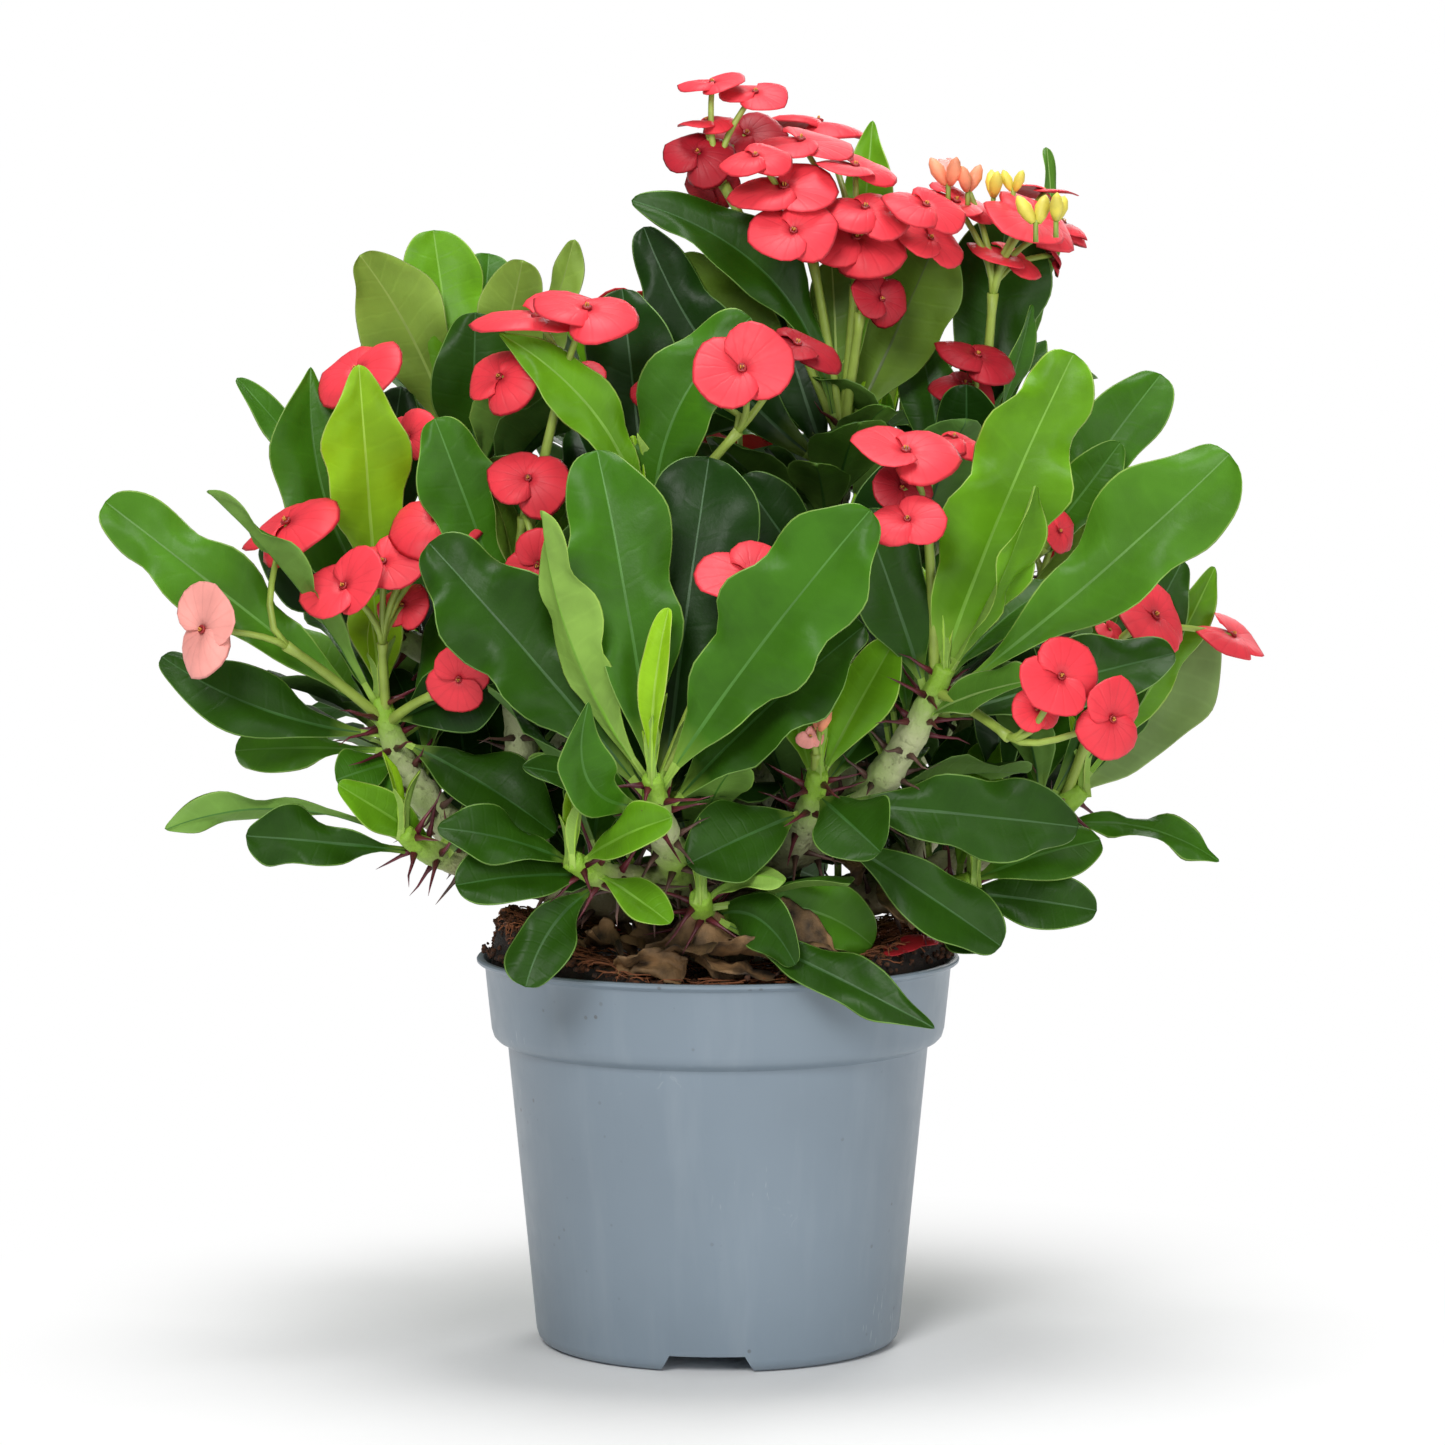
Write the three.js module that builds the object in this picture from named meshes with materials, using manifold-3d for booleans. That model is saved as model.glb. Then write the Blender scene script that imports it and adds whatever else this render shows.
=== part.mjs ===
// A potted crown of thorns: a short woody trunk in a 17 cm nursery pot, arching boughs with
// thorns, and at each bough's end a shoot with its leaves, flower stalks and red bracts.
// Millimetres, +Z up, the viewer on the -Y side, the origin under the middle of the pot.
import * as THREE from "three";
import { mergeVertices } from "three/addons/utils/BufferGeometryUtils.js";
import Module from "manifold-3d";

const wasm = await Module();
wasm.setup();

// The pot: radii and heights of its outside, its wall, and the channels under its foot.
const POT = {
  height: 136.5,
  rimRadius: 85,
  rimThickness: 1.4,
  collarTopRadius: 82,
  collarFootRadius: 79.8,
  collarFootHeight: 111.5,
  bodyTopRadius: 74,
  bodyTopHeight: 104.5,
  bodyFootRadius: 64.2,
  bodyFootHeight: 4.5,
  footRadius: 60.5,
  wall: 1.6,
  floor: 7.5,
  sides: 32,
};
const CHANNEL = { count: 3, height: 5.7, topHalf: 13, footHalf: 19, inner: 22, bearing: -93.4 };
// The soil's flat middle, the ring where it is heaped to the left and right, and its edge.
const SOIL = { middle: 133.5, heapLeft: 14, heapRight: 9, heapRadius: 71, flatRadius: 32, edge: 133 };

// Neighbouring solids keep this far apart. Pieces are tested a little wider than that, and
// meet when they share more than a speck of volume in cubic millimetres.
const GAP = 0.3;
const TEST_GAP = 0.35;
const SPECK = 1e-3;

// The trunk: its axis, and its radius at shares of its height, wide at the root flare.
const TRUNK = { foot: [0, 8], top: [-4, 4, 174], dome: 2, sides: 10 };
const TRUNK_TAPER = [[0, 20], [0.12, 16], [0.35, 13.5], [0.8, 11.5], [1, 8]];

// Boughs taper to the shoot that goes on from them. They run level at first and then rise:
// the bend is how far across and how far up the way to the tip they turn.
const BOUGH = { sides: 5, steps: 3, endRadius: 5.5, bend: [0.7, 0.16] };
const SHOOT = { length: 30, tipRadius: 3.6, sides: 4, steps: 1 };
const THORN = { length: 14, radius: 1.4, spacing: 32, first: 22, rootShare: 0.6 };

// Leaves grow from this stretch of a shoot, as distances below its tip for the youngest and
// the oldest, and flower stalks from their own place.
const LEAF_ZONE = [2, 25];
const FLOWER_ZONE = 10;

// Leaves: longest, width as a share of length, and the least half width of the stalk.
// Wide ones have more stations along them than narrow ones.
const LEAF = {
  length: 90, widthShare: 0.37, thickness: 1.3, stalk: 1.3, bow: 0.06, bowScatter: 0.5,
};
const WIDE_LEAF = { from: 23, stations: [0, 0.36, 0.64, 0.88] };
const NARROW_STATIONS = [0, 0.5, 0.82];
const BLADE_STATIONS = [0.35, 0.66, 0.88];
const GOLDEN_ANGLE = 137.5;

// The spiral of leaves, youngest to oldest: length as a share of the longest, lift in degrees
// from level, how much each is scattered, and the turn from one shoot to the next.
const SPIRAL = {
  lengths: [0.55, 1], lifts: [72, -8], lengthScatter: 0.1, liftScatter: 8, twist: 20,
  shootTurn: 50, lean: 0.5,
};

// Places to try for a piece in turn: millimetres towards the viewer, or degrees round the shoot.
const DEPTH_NUDGES = [0, 8, -8, 16, -16, 24, -24];
const TURN_NUDGES = [0, 12, -12, 24, -24, 36, -36];

// Blooms: pairs of bracts in one shallow cup on a stalk. They lean away from a line that
// stands behind the plant's middle, and towards the way that their own stalk runs.
const BLOOM = {
  sides: 6, thickness: 1.4, height: 0.86, cup: 0.08, stalk: 1.1, behind: 60, along: 0.3,
};
const STALK = { foot: 1.8, joint: 2.8, sides: 4 };

// Each shoot: the tip [across, back, up] that it reaches, the stem it forks from and how far
// along that, the radius at the foot of its bough, how many leaves grow by the spiral, and a
// bend of its own where its bough has one.
// posed: leaves that the front view shows, young to old. Each is how far the leaf's point
// reaches [across, forward, up] from the shoot's tip, its width, and its tilt from the viewer.
// heads: where a flower stalk forks [across, forward, up], and for each of its blooms the
// reach from the shoot's tip, the width, and the pitch, 0 facing up and 90 facing outwards.
const SHOOTS = {
  front: {
    tip: [-22, -110, 209], from: "trunk", at: 0.62, radius: 9, spiral: 4,
    posed: [
      [6, 0, 56, 11, -50], [-35, 8, 88, 24, 150], [71, 25, 89, 47, -15], [-18, -15, 107, 37, 10],
      [-22, 34, 20, 26, 10], [-74, -5, 76, 36, 15], [-42, 25, 4, 21, 50], [70, 5, 50, 36, -35],
      [19, -35, 104, 46, -5],
    ],
    heads: [{ fork: [24, -2, 46], blooms: [[30, 5, 66, 27, 45]] }],
  },
  front_low: {
    tip: [-49, -95, 180], from: "front", at: 0.35, radius: 6, spiral: 1,
    posed: [
      [34, 32, 17, 17, -40], [-44, 5, 11, 21, 45], [33, 12, -20, 15, -40], [-38, 15, -8, 24, 40],
      [-15, 5, -42, 20, 140],
    ],
  },
  left: {
    tip: [-117, -30, 230], from: "trunk", at: 0.5, radius: 9, spiral: 4, bend: [0.85, 0.02],
    posed: [
      [-54, 20, 72, 19, 115], [-93, 5, 68, 29, 20], [44, 18, 5, 28, -30], [-73, 8, 15, 31, 35],
      [61, 10, -46, 29, -35], [-49, -25, -20, 20, 30], [-22, 12, -30, 18, 20],
    ],
    heads: [
      { fork: [-30, 25, 19], blooms: [[-58, 35, 28, 25, 85], [-30, 5, 55, 34, 60]] },
      {
        fork: [2, 12, 19],
        blooms: [
          [-10, 25, 39, 28, 65], [3, 20, 47, 28, 60], [21, 8, 62, 30, 70], [30, 5, 60, 24, 70],
          [9, 10, 32, 18, 80],
        ],
      },
      { fork: [20, 20, 2], blooms: [[27, 30, 7, 24, 80]] },
    ],
  },
  left_low: {
    tip: [-108, -50, 185], from: "left", at: 0.5, radius: 6.5, spiral: 2,
    posed: [[-81, 0, 3, 18, 125], [-50, 15, -4, 21, 30]],
  },
  mid_left: {
    tip: [-70, -40, 273], from: "left", at: 0.42, radius: 7, spiral: 5,
    posed: [[-7, 35, 29, 14, 60], [-26, 15, 53, 28, 10]],
    heads: [
      {
        fork: [17, 12, 65],
        blooms: [
          [11, 14, 85, 36, 25], [30, 12, 87, 33, 30], [-4, 10, 67, 26, 60], [22, 4, 68, 20, 60],
        ],
      },
      { fork: [4, 18, 20], blooms: [[6, 25, 33, 24, 80], [9, 25, 4, 20, 80]] },
    ],
  },
  left_back: { tip: [-124, 62, 220], from: "left", at: 0.5, radius: 7, spiral: 8 },
  centre: {
    tip: [-23, -45, 294], from: "trunk", at: 1, radius: 8.5, spiral: 5,
    posed: [
      [-6, 3, 26, 5, 0], [-51, 12, 60, 26, 20], [34, 5, 66, 30, -20], [-12, -28, 80, 32, 0],
    ],
    heads: [
      { fork: [30, 14, 28], blooms: [[31, 22, 49, 33, 80], [50, 8, 56, 30, 20], [2, -4, 42, 20, 60]] },
    ],
  },
  centre_bottom: {
    tip: [-6, -78, 166], from: "trunk", at: 0.3, radius: 6, spiral: 0,
    posed: [[28, 12, 6, 13, 120], [60, -35, -8, 21, -10], [78, 22, -42, 18, -20], [36, 10, -22, 17, 10]],
  },
  crown: {
    tip: [45, 15, 326], from: "trunk", at: 1, radius: 9, spiral: 4,
    posed: [
      [6, -28, 105, 17, 0], [32, 12, 62, 34, 175], [-5, 0, 48, 20, 10], [-75, 10, 83, 36, 30],
      [-62, 2, 50, 26, 170], [-68, -8, 66, 26, 0], [-28, -5, 48, 24, 0],
    ],
    heads: [
      {
        fork: [-43, 8, 81],
        blooms: [
          [-47, 8, 120, 24, 10], [-33, 6, 117, 24, 40], [-50, 6, 106, 24, 5], [-52, 10, 94, 26, 60],
          [-47, 4, 80, 20, 100], [-35, -8, 99, 30, 60],
        ],
      },
      {
        fork: [3, 10, 46],
        blooms: [
          [-16, 8, 96, 34, 35], [-18, 18, 80, 36, 40], [7, 12, 88, 30, 45], [-2, -15, 102, 30, 15],
          [6, 25, 72, 30, 45], [27, 18, 73, 29, 50], [-19, 22, 64, 28, 65], [3, 20, 62, 32, 65],
          [29, 12, 62, 26, 60], [-32, 5, 90, 24, 40],
        ],
      },
      { fork: [5, 12, 36], blooms: [[12, 18, 41, 22, 85]] },
    ],
  },
  top_left: {
    tip: [-93, 20, 322], from: "trunk", at: 0.9, radius: 8, spiral: 4,
    posed: [
      [-7, -12, 72, 28, 5], [-30, 10, 62, 34, 185], [11, -25, 67, 26, 10], [24, 0, 60, 22, 170],
      [42, -15, 69, 17, 140], [8, 15, 40, 30, 0],
    ],
  },
  left_up: {
    tip: [-124, 0, 259], from: "top_left", at: 0.5, radius: 7, spiral: 4,
    posed: [[1, 28, 85, 30, 5], [-25, 12, 84, 34, 10], [-45, -10, 79, 20, 75], [-36, 0, 22, 24, 0]],
    heads: [{ fork: [4, 8, 50], blooms: [[0, 15, 83, 30, 70], [16, 6, 60, 22, 85]] }],
  },
  right: {
    tip: [76, -85, 244], from: "trunk", at: 0.78, radius: 9, spiral: 4,
    posed: [
      [34, 28, 58, 17, 60], [2, 0, 27, 6, 0], [37, 5, 106, 40, 5], [-28, 5, 52, 28, 10],
      [97, 15, 68, 41, -15], [27, 30, -3, 18, -50], [78, -18, 3, 25, -20],
    ],
    heads: [
      {
        fork: [-7, 10, 52],
        blooms: [[-14, 18, 72, 33, 50], [3, 5, 76, 24, 30], [-15, 12, 60, 20, 80], [-14, 24, 50, 24, 40]],
      },
      { fork: [20, 24, -22], blooms: [[37, 40, -2, 29, 85], [53, 36, -18, 30, 90], [29, 32, -12, 18, 80]] },
    ],
  },
  right_mid: {
    tip: [34, -75, 208], from: "right", at: 0.2, radius: 6, spiral: 2,
    posed: [[25, 8, 44, 21, -20], [20, 25, -25, 27, -10], [88, -10, -20, 28, -10], [-44, 15, -30, 28, 15]],
    heads: [{ fork: [-1, 2, 6], blooms: [[-3, 4, 12, 10, 60]] }],
  },
  mid_right: {
    tip: [48, -35, 273], from: "right", at: 0.4, radius: 7, spiral: 6,
    posed: [[16, 12, 40, 26, 10], [-40, 10, 33, 26, 0]],
  },
  right_low: {
    tip: [127, -20, 197], from: "trunk", at: 0.45, radius: 8.5, spiral: 3,
    posed: [[47, -20, 76, 15, 30], [45, -5, 56, 36, 180], [20, -25, 45, 24, 10], [46, 8, -20, 20, -50]],
    heads: [
      { fork: [9, 10, 48], blooms: [[22, 15, 63, 28, 55], [49, -5, 53, 22, 70], [8, 12, 56, 10, 60]] },
    ],
  },
  right_bottom: {
    tip: [88, -45, 168], from: "right_low", at: 0.3, radius: 6, spiral: 2,
    posed: [[44, -15, 12, 18, -30], [42, -2, -11, 20, -20], [10, 18, -23, 20, -25]],
  },
  far_right: {
    tip: [105, 45, 273], from: "right_low", at: 0.4, radius: 7, spiral: 5,
    posed: [[38, 15, 43, 20, 10], [55, -5, 71, 34, -5], [41, -10, 43, 12, 120]],
    heads: [{ fork: [12, 14, 6], blooms: [[17, 20, 12, 15, 80]] }],
  },
  right_up: {
    tip: [95, 30, 319], from: "crown", at: 0.4, radius: 7.5, spiral: 4,
    posed: [[24, -20, 103, 8, 60], [16, 5, 46, 12, 60], [13, -15, 76, 36, 5], [-8, 20, 18, 24, 0]],
    heads: [
      {
        fork: [2, 12, 50],
        blooms: [
          [-11, 8, 82, 32, 60], [15, 20, 79, 38, 60], [28, 5, 72, 26, 20], [5, 10, 63, 30, 120],
          [21, -8, 88, 26, 5], [-12, -4, 94, 18, 60],
        ],
      },
      { fork: [-4, 12, 16], blooms: [[-4, 15, 28, 30, 10], [-6, 14, 18, 26, 40]] },
    ],
  },
  back: {
    tip: [4, 128, 256], from: "trunk", at: 0.58, radius: 9, spiral: 12,
    heads: [{ fork: [4, -20, 40], blooms: [[-8, -24, 58, 30, 50], [16, -28, 54, 30, 70], [4, -12, 66, 28, 20]] }],
  },
  back_low: { tip: [-28, 118, 188], from: "back", at: 0.45, radius: 6.5, spiral: 8 },
  back_left: {
    tip: [-102, 104, 212], from: "back", at: 0.32, radius: 7.5, spiral: 10,
    heads: [{ fork: [-20, -14, 34], blooms: [[-34, -18, 46, 30, 60], [-14, -24, 50, 28, 60]] }],
  },
  back_right: {
    tip: [104, 98, 226], from: "back", at: 0.4, radius: 7.5, spiral: 10,
    heads: [
      { fork: [16, -16, 38], blooms: [[28, -22, 50, 30, 60], [8, -26, 54, 30, 60], [22, -10, 62, 26, 20]] },
    ],
  },
  back_top: {
    tip: [-38, 82, 320], from: "top_left", at: 0.42, radius: 7.5, spiral: 9,
    heads: [{ fork: [-6, -8, 24], blooms: [[-18, -12, 38, 30, 50], [6, -14, 42, 32, 50]] }],
  },
  back_crown: {
    tip: [62, 88, 314], from: "crown", at: 0.34, radius: 7.5, spiral: 9,
    heads: [{ fork: [6, -8, 44], blooms: [[-4, -12, 60, 30, 50], [18, -14, 56, 28, 60]] }],
  },
};

// Each mesh gets a material of its own in one of these, a little lighter or darker.
const FOLIAGE = { color: 0x2f6b24, roughness: 0.45, metalness: 0 };
const BARK = { color: 0x9a9a78, roughness: 0.8, metalness: 0 };
const PLASTIC = { color: 0x84929e, roughness: 0.4, metalness: 0 };
const PEAT = { color: 0x3a2418, roughness: 0.95, metalness: 0 };
const SHADE_SCATTER = 0.05;

const UP = new THREE.Vector3(0, 0, 1);
const VIEWER = new THREE.Vector3(0, -1, 0);
const radians = THREE.MathUtils.degToRad;
const mix = THREE.MathUtils.lerp;
const vector = (p) => new THREE.Vector3(...p);
const moved = (p, direction, by) => p.clone().addScaledVector(direction, by);

// A repeatable number from -1 to 1 for two whole numbers.
function wobble(a, b) {
  const s = Math.sin(a * 12.9898 + b * 78.233) * 43758.5453;
  return 2 * (s - Math.floor(s)) - 1;
}

// Closed geometry as a solid, turned right side out where its faces point inwards.
function solidFrom(geometry) {
  geometry.deleteAttribute("normal");
  geometry.deleteAttribute("uv");
  const merged = mergeVertices(geometry, 1e-4);
  const vertProperties = new Float32Array(merged.attributes.position.array);
  const triVerts = new Uint32Array(merged.index.array);
  const solid = new wasm.Manifold(new wasm.Mesh({ numProp: 3, vertProperties, triVerts }));
  if (solid.volume() >= 0) return solid;
  for (let i = 0; i < triVerts.length; i += 3) {
    [triVerts[i], triVerts[i + 1]] = [triVerts[i + 1], triVerts[i]];
  }
  return new wasm.Manifold(new wasm.Mesh({ numProp: 3, vertProperties, triVerts }));
}

function geometryFrom(solid) {
  const mesh = solid.getMesh();
  const geometry = new THREE.BufferGeometry();
  geometry.setAttribute("position", new THREE.BufferAttribute(new Float32Array(mesh.vertProperties), 3));
  geometry.setIndex(new THREE.BufferAttribute(new Uint32Array(mesh.triVerts), 1));
  geometry.computeVertexNormals();
  return geometry;
}

// A closed skin over rings of equal counts, with a fan to a point at each end.
function loft(start, rings, end) {
  const count = rings[0].length;
  const lastRing = 1 + (rings.length - 1) * count;
  const endPoint = lastRing + count;
  const faces = [];
  for (let i = 0; i < count; i++) {
    const j = (i + 1) % count;
    faces.push(0, 1 + j, 1 + i, endPoint, lastRing + i, lastRing + j);
    for (let a = 1; a < lastRing; a += count) {
      faces.push(a + i, a + j, a + count + j, a + i, a + count + j, a + count + i);
    }
  }
  const geometry = new THREE.BufferGeometry().setFromPoints([start, ...rings.flat(), end]);
  geometry.setIndex(faces);
  return solidFrom(geometry);
}

const cross = (a, b) => new THREE.Vector3().crossVectors(a, b).normalize();

// A direction square to an axis, level unless the axis is upright.
const sideOf = (axis) => cross(Math.abs(axis.z) < 0.95 ? UP : VIEWER, axis);

// A point a given way out from an axis, at a turn from its side direction.
function around(centre, axis, side, turn, radius) {
  return moved(moved(centre, side, radius * Math.cos(turn)), cross(axis, side), radius * Math.sin(turn));
}

function ringAt(centre, axis, side, radius, sides) {
  return Array.from({ length: sides }, (_, i) => around(centre, axis, side, (2 * Math.PI * i) / sides, radius));
}

// A tapering limb along a curve that lies in an upright plane, between two shares of its
// length. Its side direction is square to that plane.
function limb(curve, from, to, side, radiusAt, sides, steps) {
  const rings = Array.from({ length: steps + 1 }, (_, i) => {
    const t = mix(from, to, i / steps);
    return ringAt(curve.getPointAt(t), curve.getTangentAt(t), side, radiusAt(t), sides);
  });
  return loft(curve.getPointAt(from), rings, curve.getPointAt(to));
}

// A leaf's half width as a share of its widest: a long taper to the stalk and a round tip.
function leafOutline(t) {
  return Math.pow(Math.sin(Math.PI * Math.pow(t, 1.7)), 0.95 - 0.6 * t);
}

// A leaf, keeled along its midrib and bowed along its length.
function leafSolid({ root, tip, face, width, bow, stations }, extra) {
  const middle = moved(root.clone().lerp(tip, 0.5), face, 2 * bow * root.distanceTo(tip));
  const curve = new THREE.QuadraticBezierCurve3(root, middle, tip);
  const thick = extra + LEAF.thickness / 2;
  const rings = stations.map((t) => {
    const centre = curve.getPoint(t);
    const along = curve.getTangent(t);
    const side = cross(along, face);
    const normal = cross(side, along);
    const half = extra + Math.max(LEAF.stalk, (width / 2) * leafOutline(t));
    const flat = moved(centre, normal, thick);
    return [moved(flat, side, -half), moved(centre, normal, -thick), moved(flat, side, half)];
  });
  return loft(curve.getPoint(stations[0]), rings, moved(tip, curve.getTangent(1), extra));
}

// The direction square to a leaf's run that lies nearest to another, turned by a tilt.
function leafFace(root, tip, towards, tilt) {
  const along = tip.clone().sub(root).normalize();
  const face = moved(towards, along, -towards.dot(along)).normalize();
  return face.applyAxisAngle(along, radians(tilt));
}

// A flower stalk, with a swollen joint at its end for the blooms to fork from.
function stalkSolid(from, to, extra) {
  const axis = to.clone().sub(from).normalize();
  const { foot, joint, sides } = STALK;
  const footRing = ringAt(from, axis, sideOf(axis), foot + extra, sides);
  const jointRing = ringAt(to, axis, sideOf(axis), joint + extra, sides);
  return loft(from, [footRing, jointRing], moved(to, axis, joint));
}

function ovalRing(centre, u, v, across, along) {
  return Array.from({ length: BLOOM.sides }, (_, i) => {
    const turn = (2 * Math.PI * i) / BLOOM.sides;
    return moved(moved(centre, u, across * Math.cos(turn)), v, along * Math.sin(turn));
  });
}

// A stalk that opens into a pair of bracts, as one shallow oval cup, and the cup alone.
function bloomPieces(from, centre, facing, width, extra) {
  const axis = centre.clone().sub(from).normalize();
  const u = sideOf(facing);
  const v = cross(facing, u);
  const stalkSide = moved(u, axis, -u.dot(axis)).normalize();
  const stalk = BLOOM.stalk + extra;
  const half = width / 2 + extra;
  const back = moved(centre, facing, -BLOOM.thickness - extra);
  const front = moved(centre, facing, extra);
  const neck = ringAt(back, facing, u, stalk, BLOOM.sides);
  const rim = ovalRing(moved(centre, facing, BLOOM.cup * width), u, v, half, half * BLOOM.height);
  const foot = ringAt(from, axis, stalkSide, stalk, BLOOM.sides);
  return [loft(from, [foot, neck, rim], front), loft(back, [rim], front)];
}

// Every piece in its place, so that later ones can keep clear of it. A leaf's blade is kept
// too, without its stalk, because leaves of one shoot only meet at their stalks.
const seated = [];
const blades = [];

const boxOf = (solid) => {
  const { min, max } = solid.boundingBox();
  return new THREE.Box3(vector(min), vector(max));
};

function seat(node, solid, list = seated) {
  list.push({ node, solid, box: boxOf(solid) });
}

function meets(others, solid) {
  const box = boxOf(solid);
  return others.some((other) => other.box.intersectsBox(box) && other.solid.intersect(solid).volume() > SPECK);
}

const isClear = (node, solid) => !meets(seated.filter((other) => other.node !== node), solid);

const largest = (solid) => solid.decompose().sort((a, b) => b.volume() - a.volume())[0];

// A profile of radii and heights turned round the pot's axis, with each point then adjusted.
function turned(profile, adjust = () => {}) {
  const lathe = new THREE.LatheGeometry(profile.map(([r, z]) => new THREE.Vector2(r, z)), POT.sides);
  const positions = lathe.rotateX(Math.PI / 2).attributes.position;
  for (let i = 0; i < positions.count; i++) {
    const p = new THREE.Vector3().fromBufferAttribute(positions, i);
    adjust(p);
    positions.setXYZ(i, p.x, p.y, p.z);
  }
  return solidFrom(lathe);
}

// The pot's inner face from its floor to its lip, or a skin a given way inside that.
function innerFace(inset) {
  const skin = POT.wall + inset;
  return [
    [POT.bodyFootRadius - skin, POT.floor + inset],
    [POT.bodyTopRadius - skin, POT.bodyTopHeight + 1],
    [POT.collarFootRadius - skin, POT.collarFootHeight],
    [POT.collarTopRadius - skin, SOIL.edge],
  ];
}

// One channel under the pot's foot, as the block that it takes out.
function channel(index) {
  const section = new THREE.Shape([
    new THREE.Vector2(-CHANNEL.footHalf, -1),
    new THREE.Vector2(CHANNEL.footHalf, -1),
    new THREE.Vector2(CHANNEL.topHalf, CHANNEL.height),
    new THREE.Vector2(-CHANNEL.topHalf, CHANNEL.height),
  ]);
  const depth = POT.rimRadius - CHANNEL.inner;
  const block = new THREE.ExtrudeGeometry(section, { depth, bevelEnabled: false });
  block.rotateX(Math.PI / 2).rotateZ(Math.PI / 2).translate(CHANNEL.inner, 0, 0);
  return solidFrom(block.rotateZ(radians(CHANNEL.bearing + (360 * index) / CHANNEL.count)));
}

function potSolid() {
  let pot = turned([
    [0, 0],
    [POT.footRadius, 0],
    [mix(POT.footRadius, POT.bodyFootRadius, 0.55), 1],
    [POT.bodyFootRadius, POT.bodyFootHeight],
    [POT.bodyTopRadius, POT.bodyTopHeight],
    [POT.bodyTopRadius + 1.2, POT.bodyTopHeight + 1.5],
    [POT.collarFootRadius - 1.3, POT.collarFootHeight - 3],
    [POT.collarFootRadius, POT.collarFootHeight],
    [POT.collarTopRadius, POT.height - 4],
    [POT.rimRadius, POT.height - POT.rimThickness],
    [POT.rimRadius, POT.height],
    [POT.rimRadius - POT.wall, POT.height],
    ...innerFace(0).reverse(),
    [0, POT.floor],
  ]);
  for (let i = 0; i < CHANNEL.count; i++) pot = pot.subtract(channel(i));
  return pot;
}

// The potting soil: flat round the trunk, heaped by the rim at the left and right.
function soilSolid() {
  const profile = [[0, POT.floor + GAP], ...innerFace(GAP)];
  const heapRing = [SOIL.heapRadius, SOIL.middle];
  return turned([...profile, heapRing, [SOIL.flatRadius, SOIL.middle], [0, SOIL.middle]], (p) => {
    const onHeap = p.z === SOIL.middle && Math.hypot(p.x, p.y) > SOIL.flatRadius + 1;
    const heap = p.x < 0 ? SOIL.heapLeft : SOIL.heapRight;
    if (onHeap) p.z += heap * (p.x / SOIL.heapRadius) ** 2;
  });
}

const trunkFoot = new THREE.Vector3(...TRUNK.foot, SOIL.middle + GAP);
const stems = { trunk: { curve: new THREE.LineCurve3(trunkFoot, vector(TRUNK.top)) } };

function trunkSolid(extra) {
  const { curve } = stems.trunk;
  const rings = TRUNK_TAPER.map(([t, radius]) =>
    ringAt(curve.getPoint(t), UP, sideOf(UP), radius + extra, TRUNK.sides),
  );
  return loft(curve.getPoint(0), rings, moved(curve.getPoint(1), UP, TRUNK.dome + extra));
}

// The way from a fork to the shoot's tip, level at first and then rising.
function routeOf(shoot) {
  const start = stems[shoot.from].curve.getPointAt(shoot.at);
  const tip = vector(shoot.tip);
  const [across, rise] = shoot.bend ?? BOUGH.bend;
  const bend = start.clone().lerp(tip, across);
  bend.z = mix(start.z, tip.z, rise);
  return new THREE.QuadraticBezierCurve3(start, bend, tip);
}

const wideLimbs = [];

// A bough is cut clear of the stem that it forks from, and of any that it passes.
function boughSolid(name, shoot) {
  const curve = routeOf(shoot);
  const length = curve.getLength();
  const cut = 1 - SHOOT.length / length;
  const radiusAt = (t) => mix(shoot.radius, BOUGH.endRadius, t / cut);
  const side = sideOf(curve.getTangent(0));
  stems[name] = { curve, length, cut, side, radiusAt };
  let bough = limb(curve, 0, cut, side, radiusAt, BOUGH.sides, BOUGH.steps);
  for (const wide of wideLimbs) bough = bough.subtract(wide);
  wideLimbs.push(limb(curve, 0, cut, side, (t) => radiusAt(t) + 2 * GAP, BOUGH.sides, BOUGH.steps));
  return largest(bough);
}

// Thorns stand round a bough by the golden angle, where nothing is in their way.
function addThorns(name, index) {
  const { curve, length, cut, side, radiusAt } = stems[name];
  const node = nodes.find((other) => other.name === `bough_${name}`);
  let turn = GOLDEN_ANGLE * index;
  for (let d = THORN.first; d < cut * length - THORN.radius; d += THORN.spacing) {
    const t = d / length;
    const axis = curve.getTangentAt(t);
    turn += GOLDEN_ANGLE;
    const root = around(curve.getPointAt(t), axis, side, radians(turn), radiusAt(t) * THORN.rootShare);
    const point = around(curve.getPointAt(t), axis, side, radians(turn), radiusAt(t) + THORN.length);
    const out = point.clone().sub(root).normalize();
    const thorn = (extra) =>
      loft(moved(root, out, -1), [ringAt(root, out, axis, THORN.radius + extra, 3)], moved(point, out, extra));
    if (!isClear(node.name, thorn(GAP))) continue;
    node.solid = largest(node.solid.add(thorn(0)));
    seat(node.name, thorn(0));
  }
}

function shootStem(name) {
  const { curve, length, cut, side } = stems[name];
  const radiusAt = (t) => mix(BOUGH.endRadius, SHOOT.tipRadius, (t - cut) / (1 - cut));
  return limb(curve, cut + GAP / length, 1, side, radiusAt, SHOOT.sides, SHOOT.steps);
}

// A point on a shoot's axis, a given way below its tip.
const belowTip = (name, below) => stems[name].curve.getPointAt(1 - below / stems[name].length);

// A reach [across, forward, up] from a shoot's tip, as a point.
const reach = (name, [across, forward, up]) =>
  vector(SHOOTS[name].tip).add(new THREE.Vector3(across, -forward, up));

const masses = {};

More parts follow.
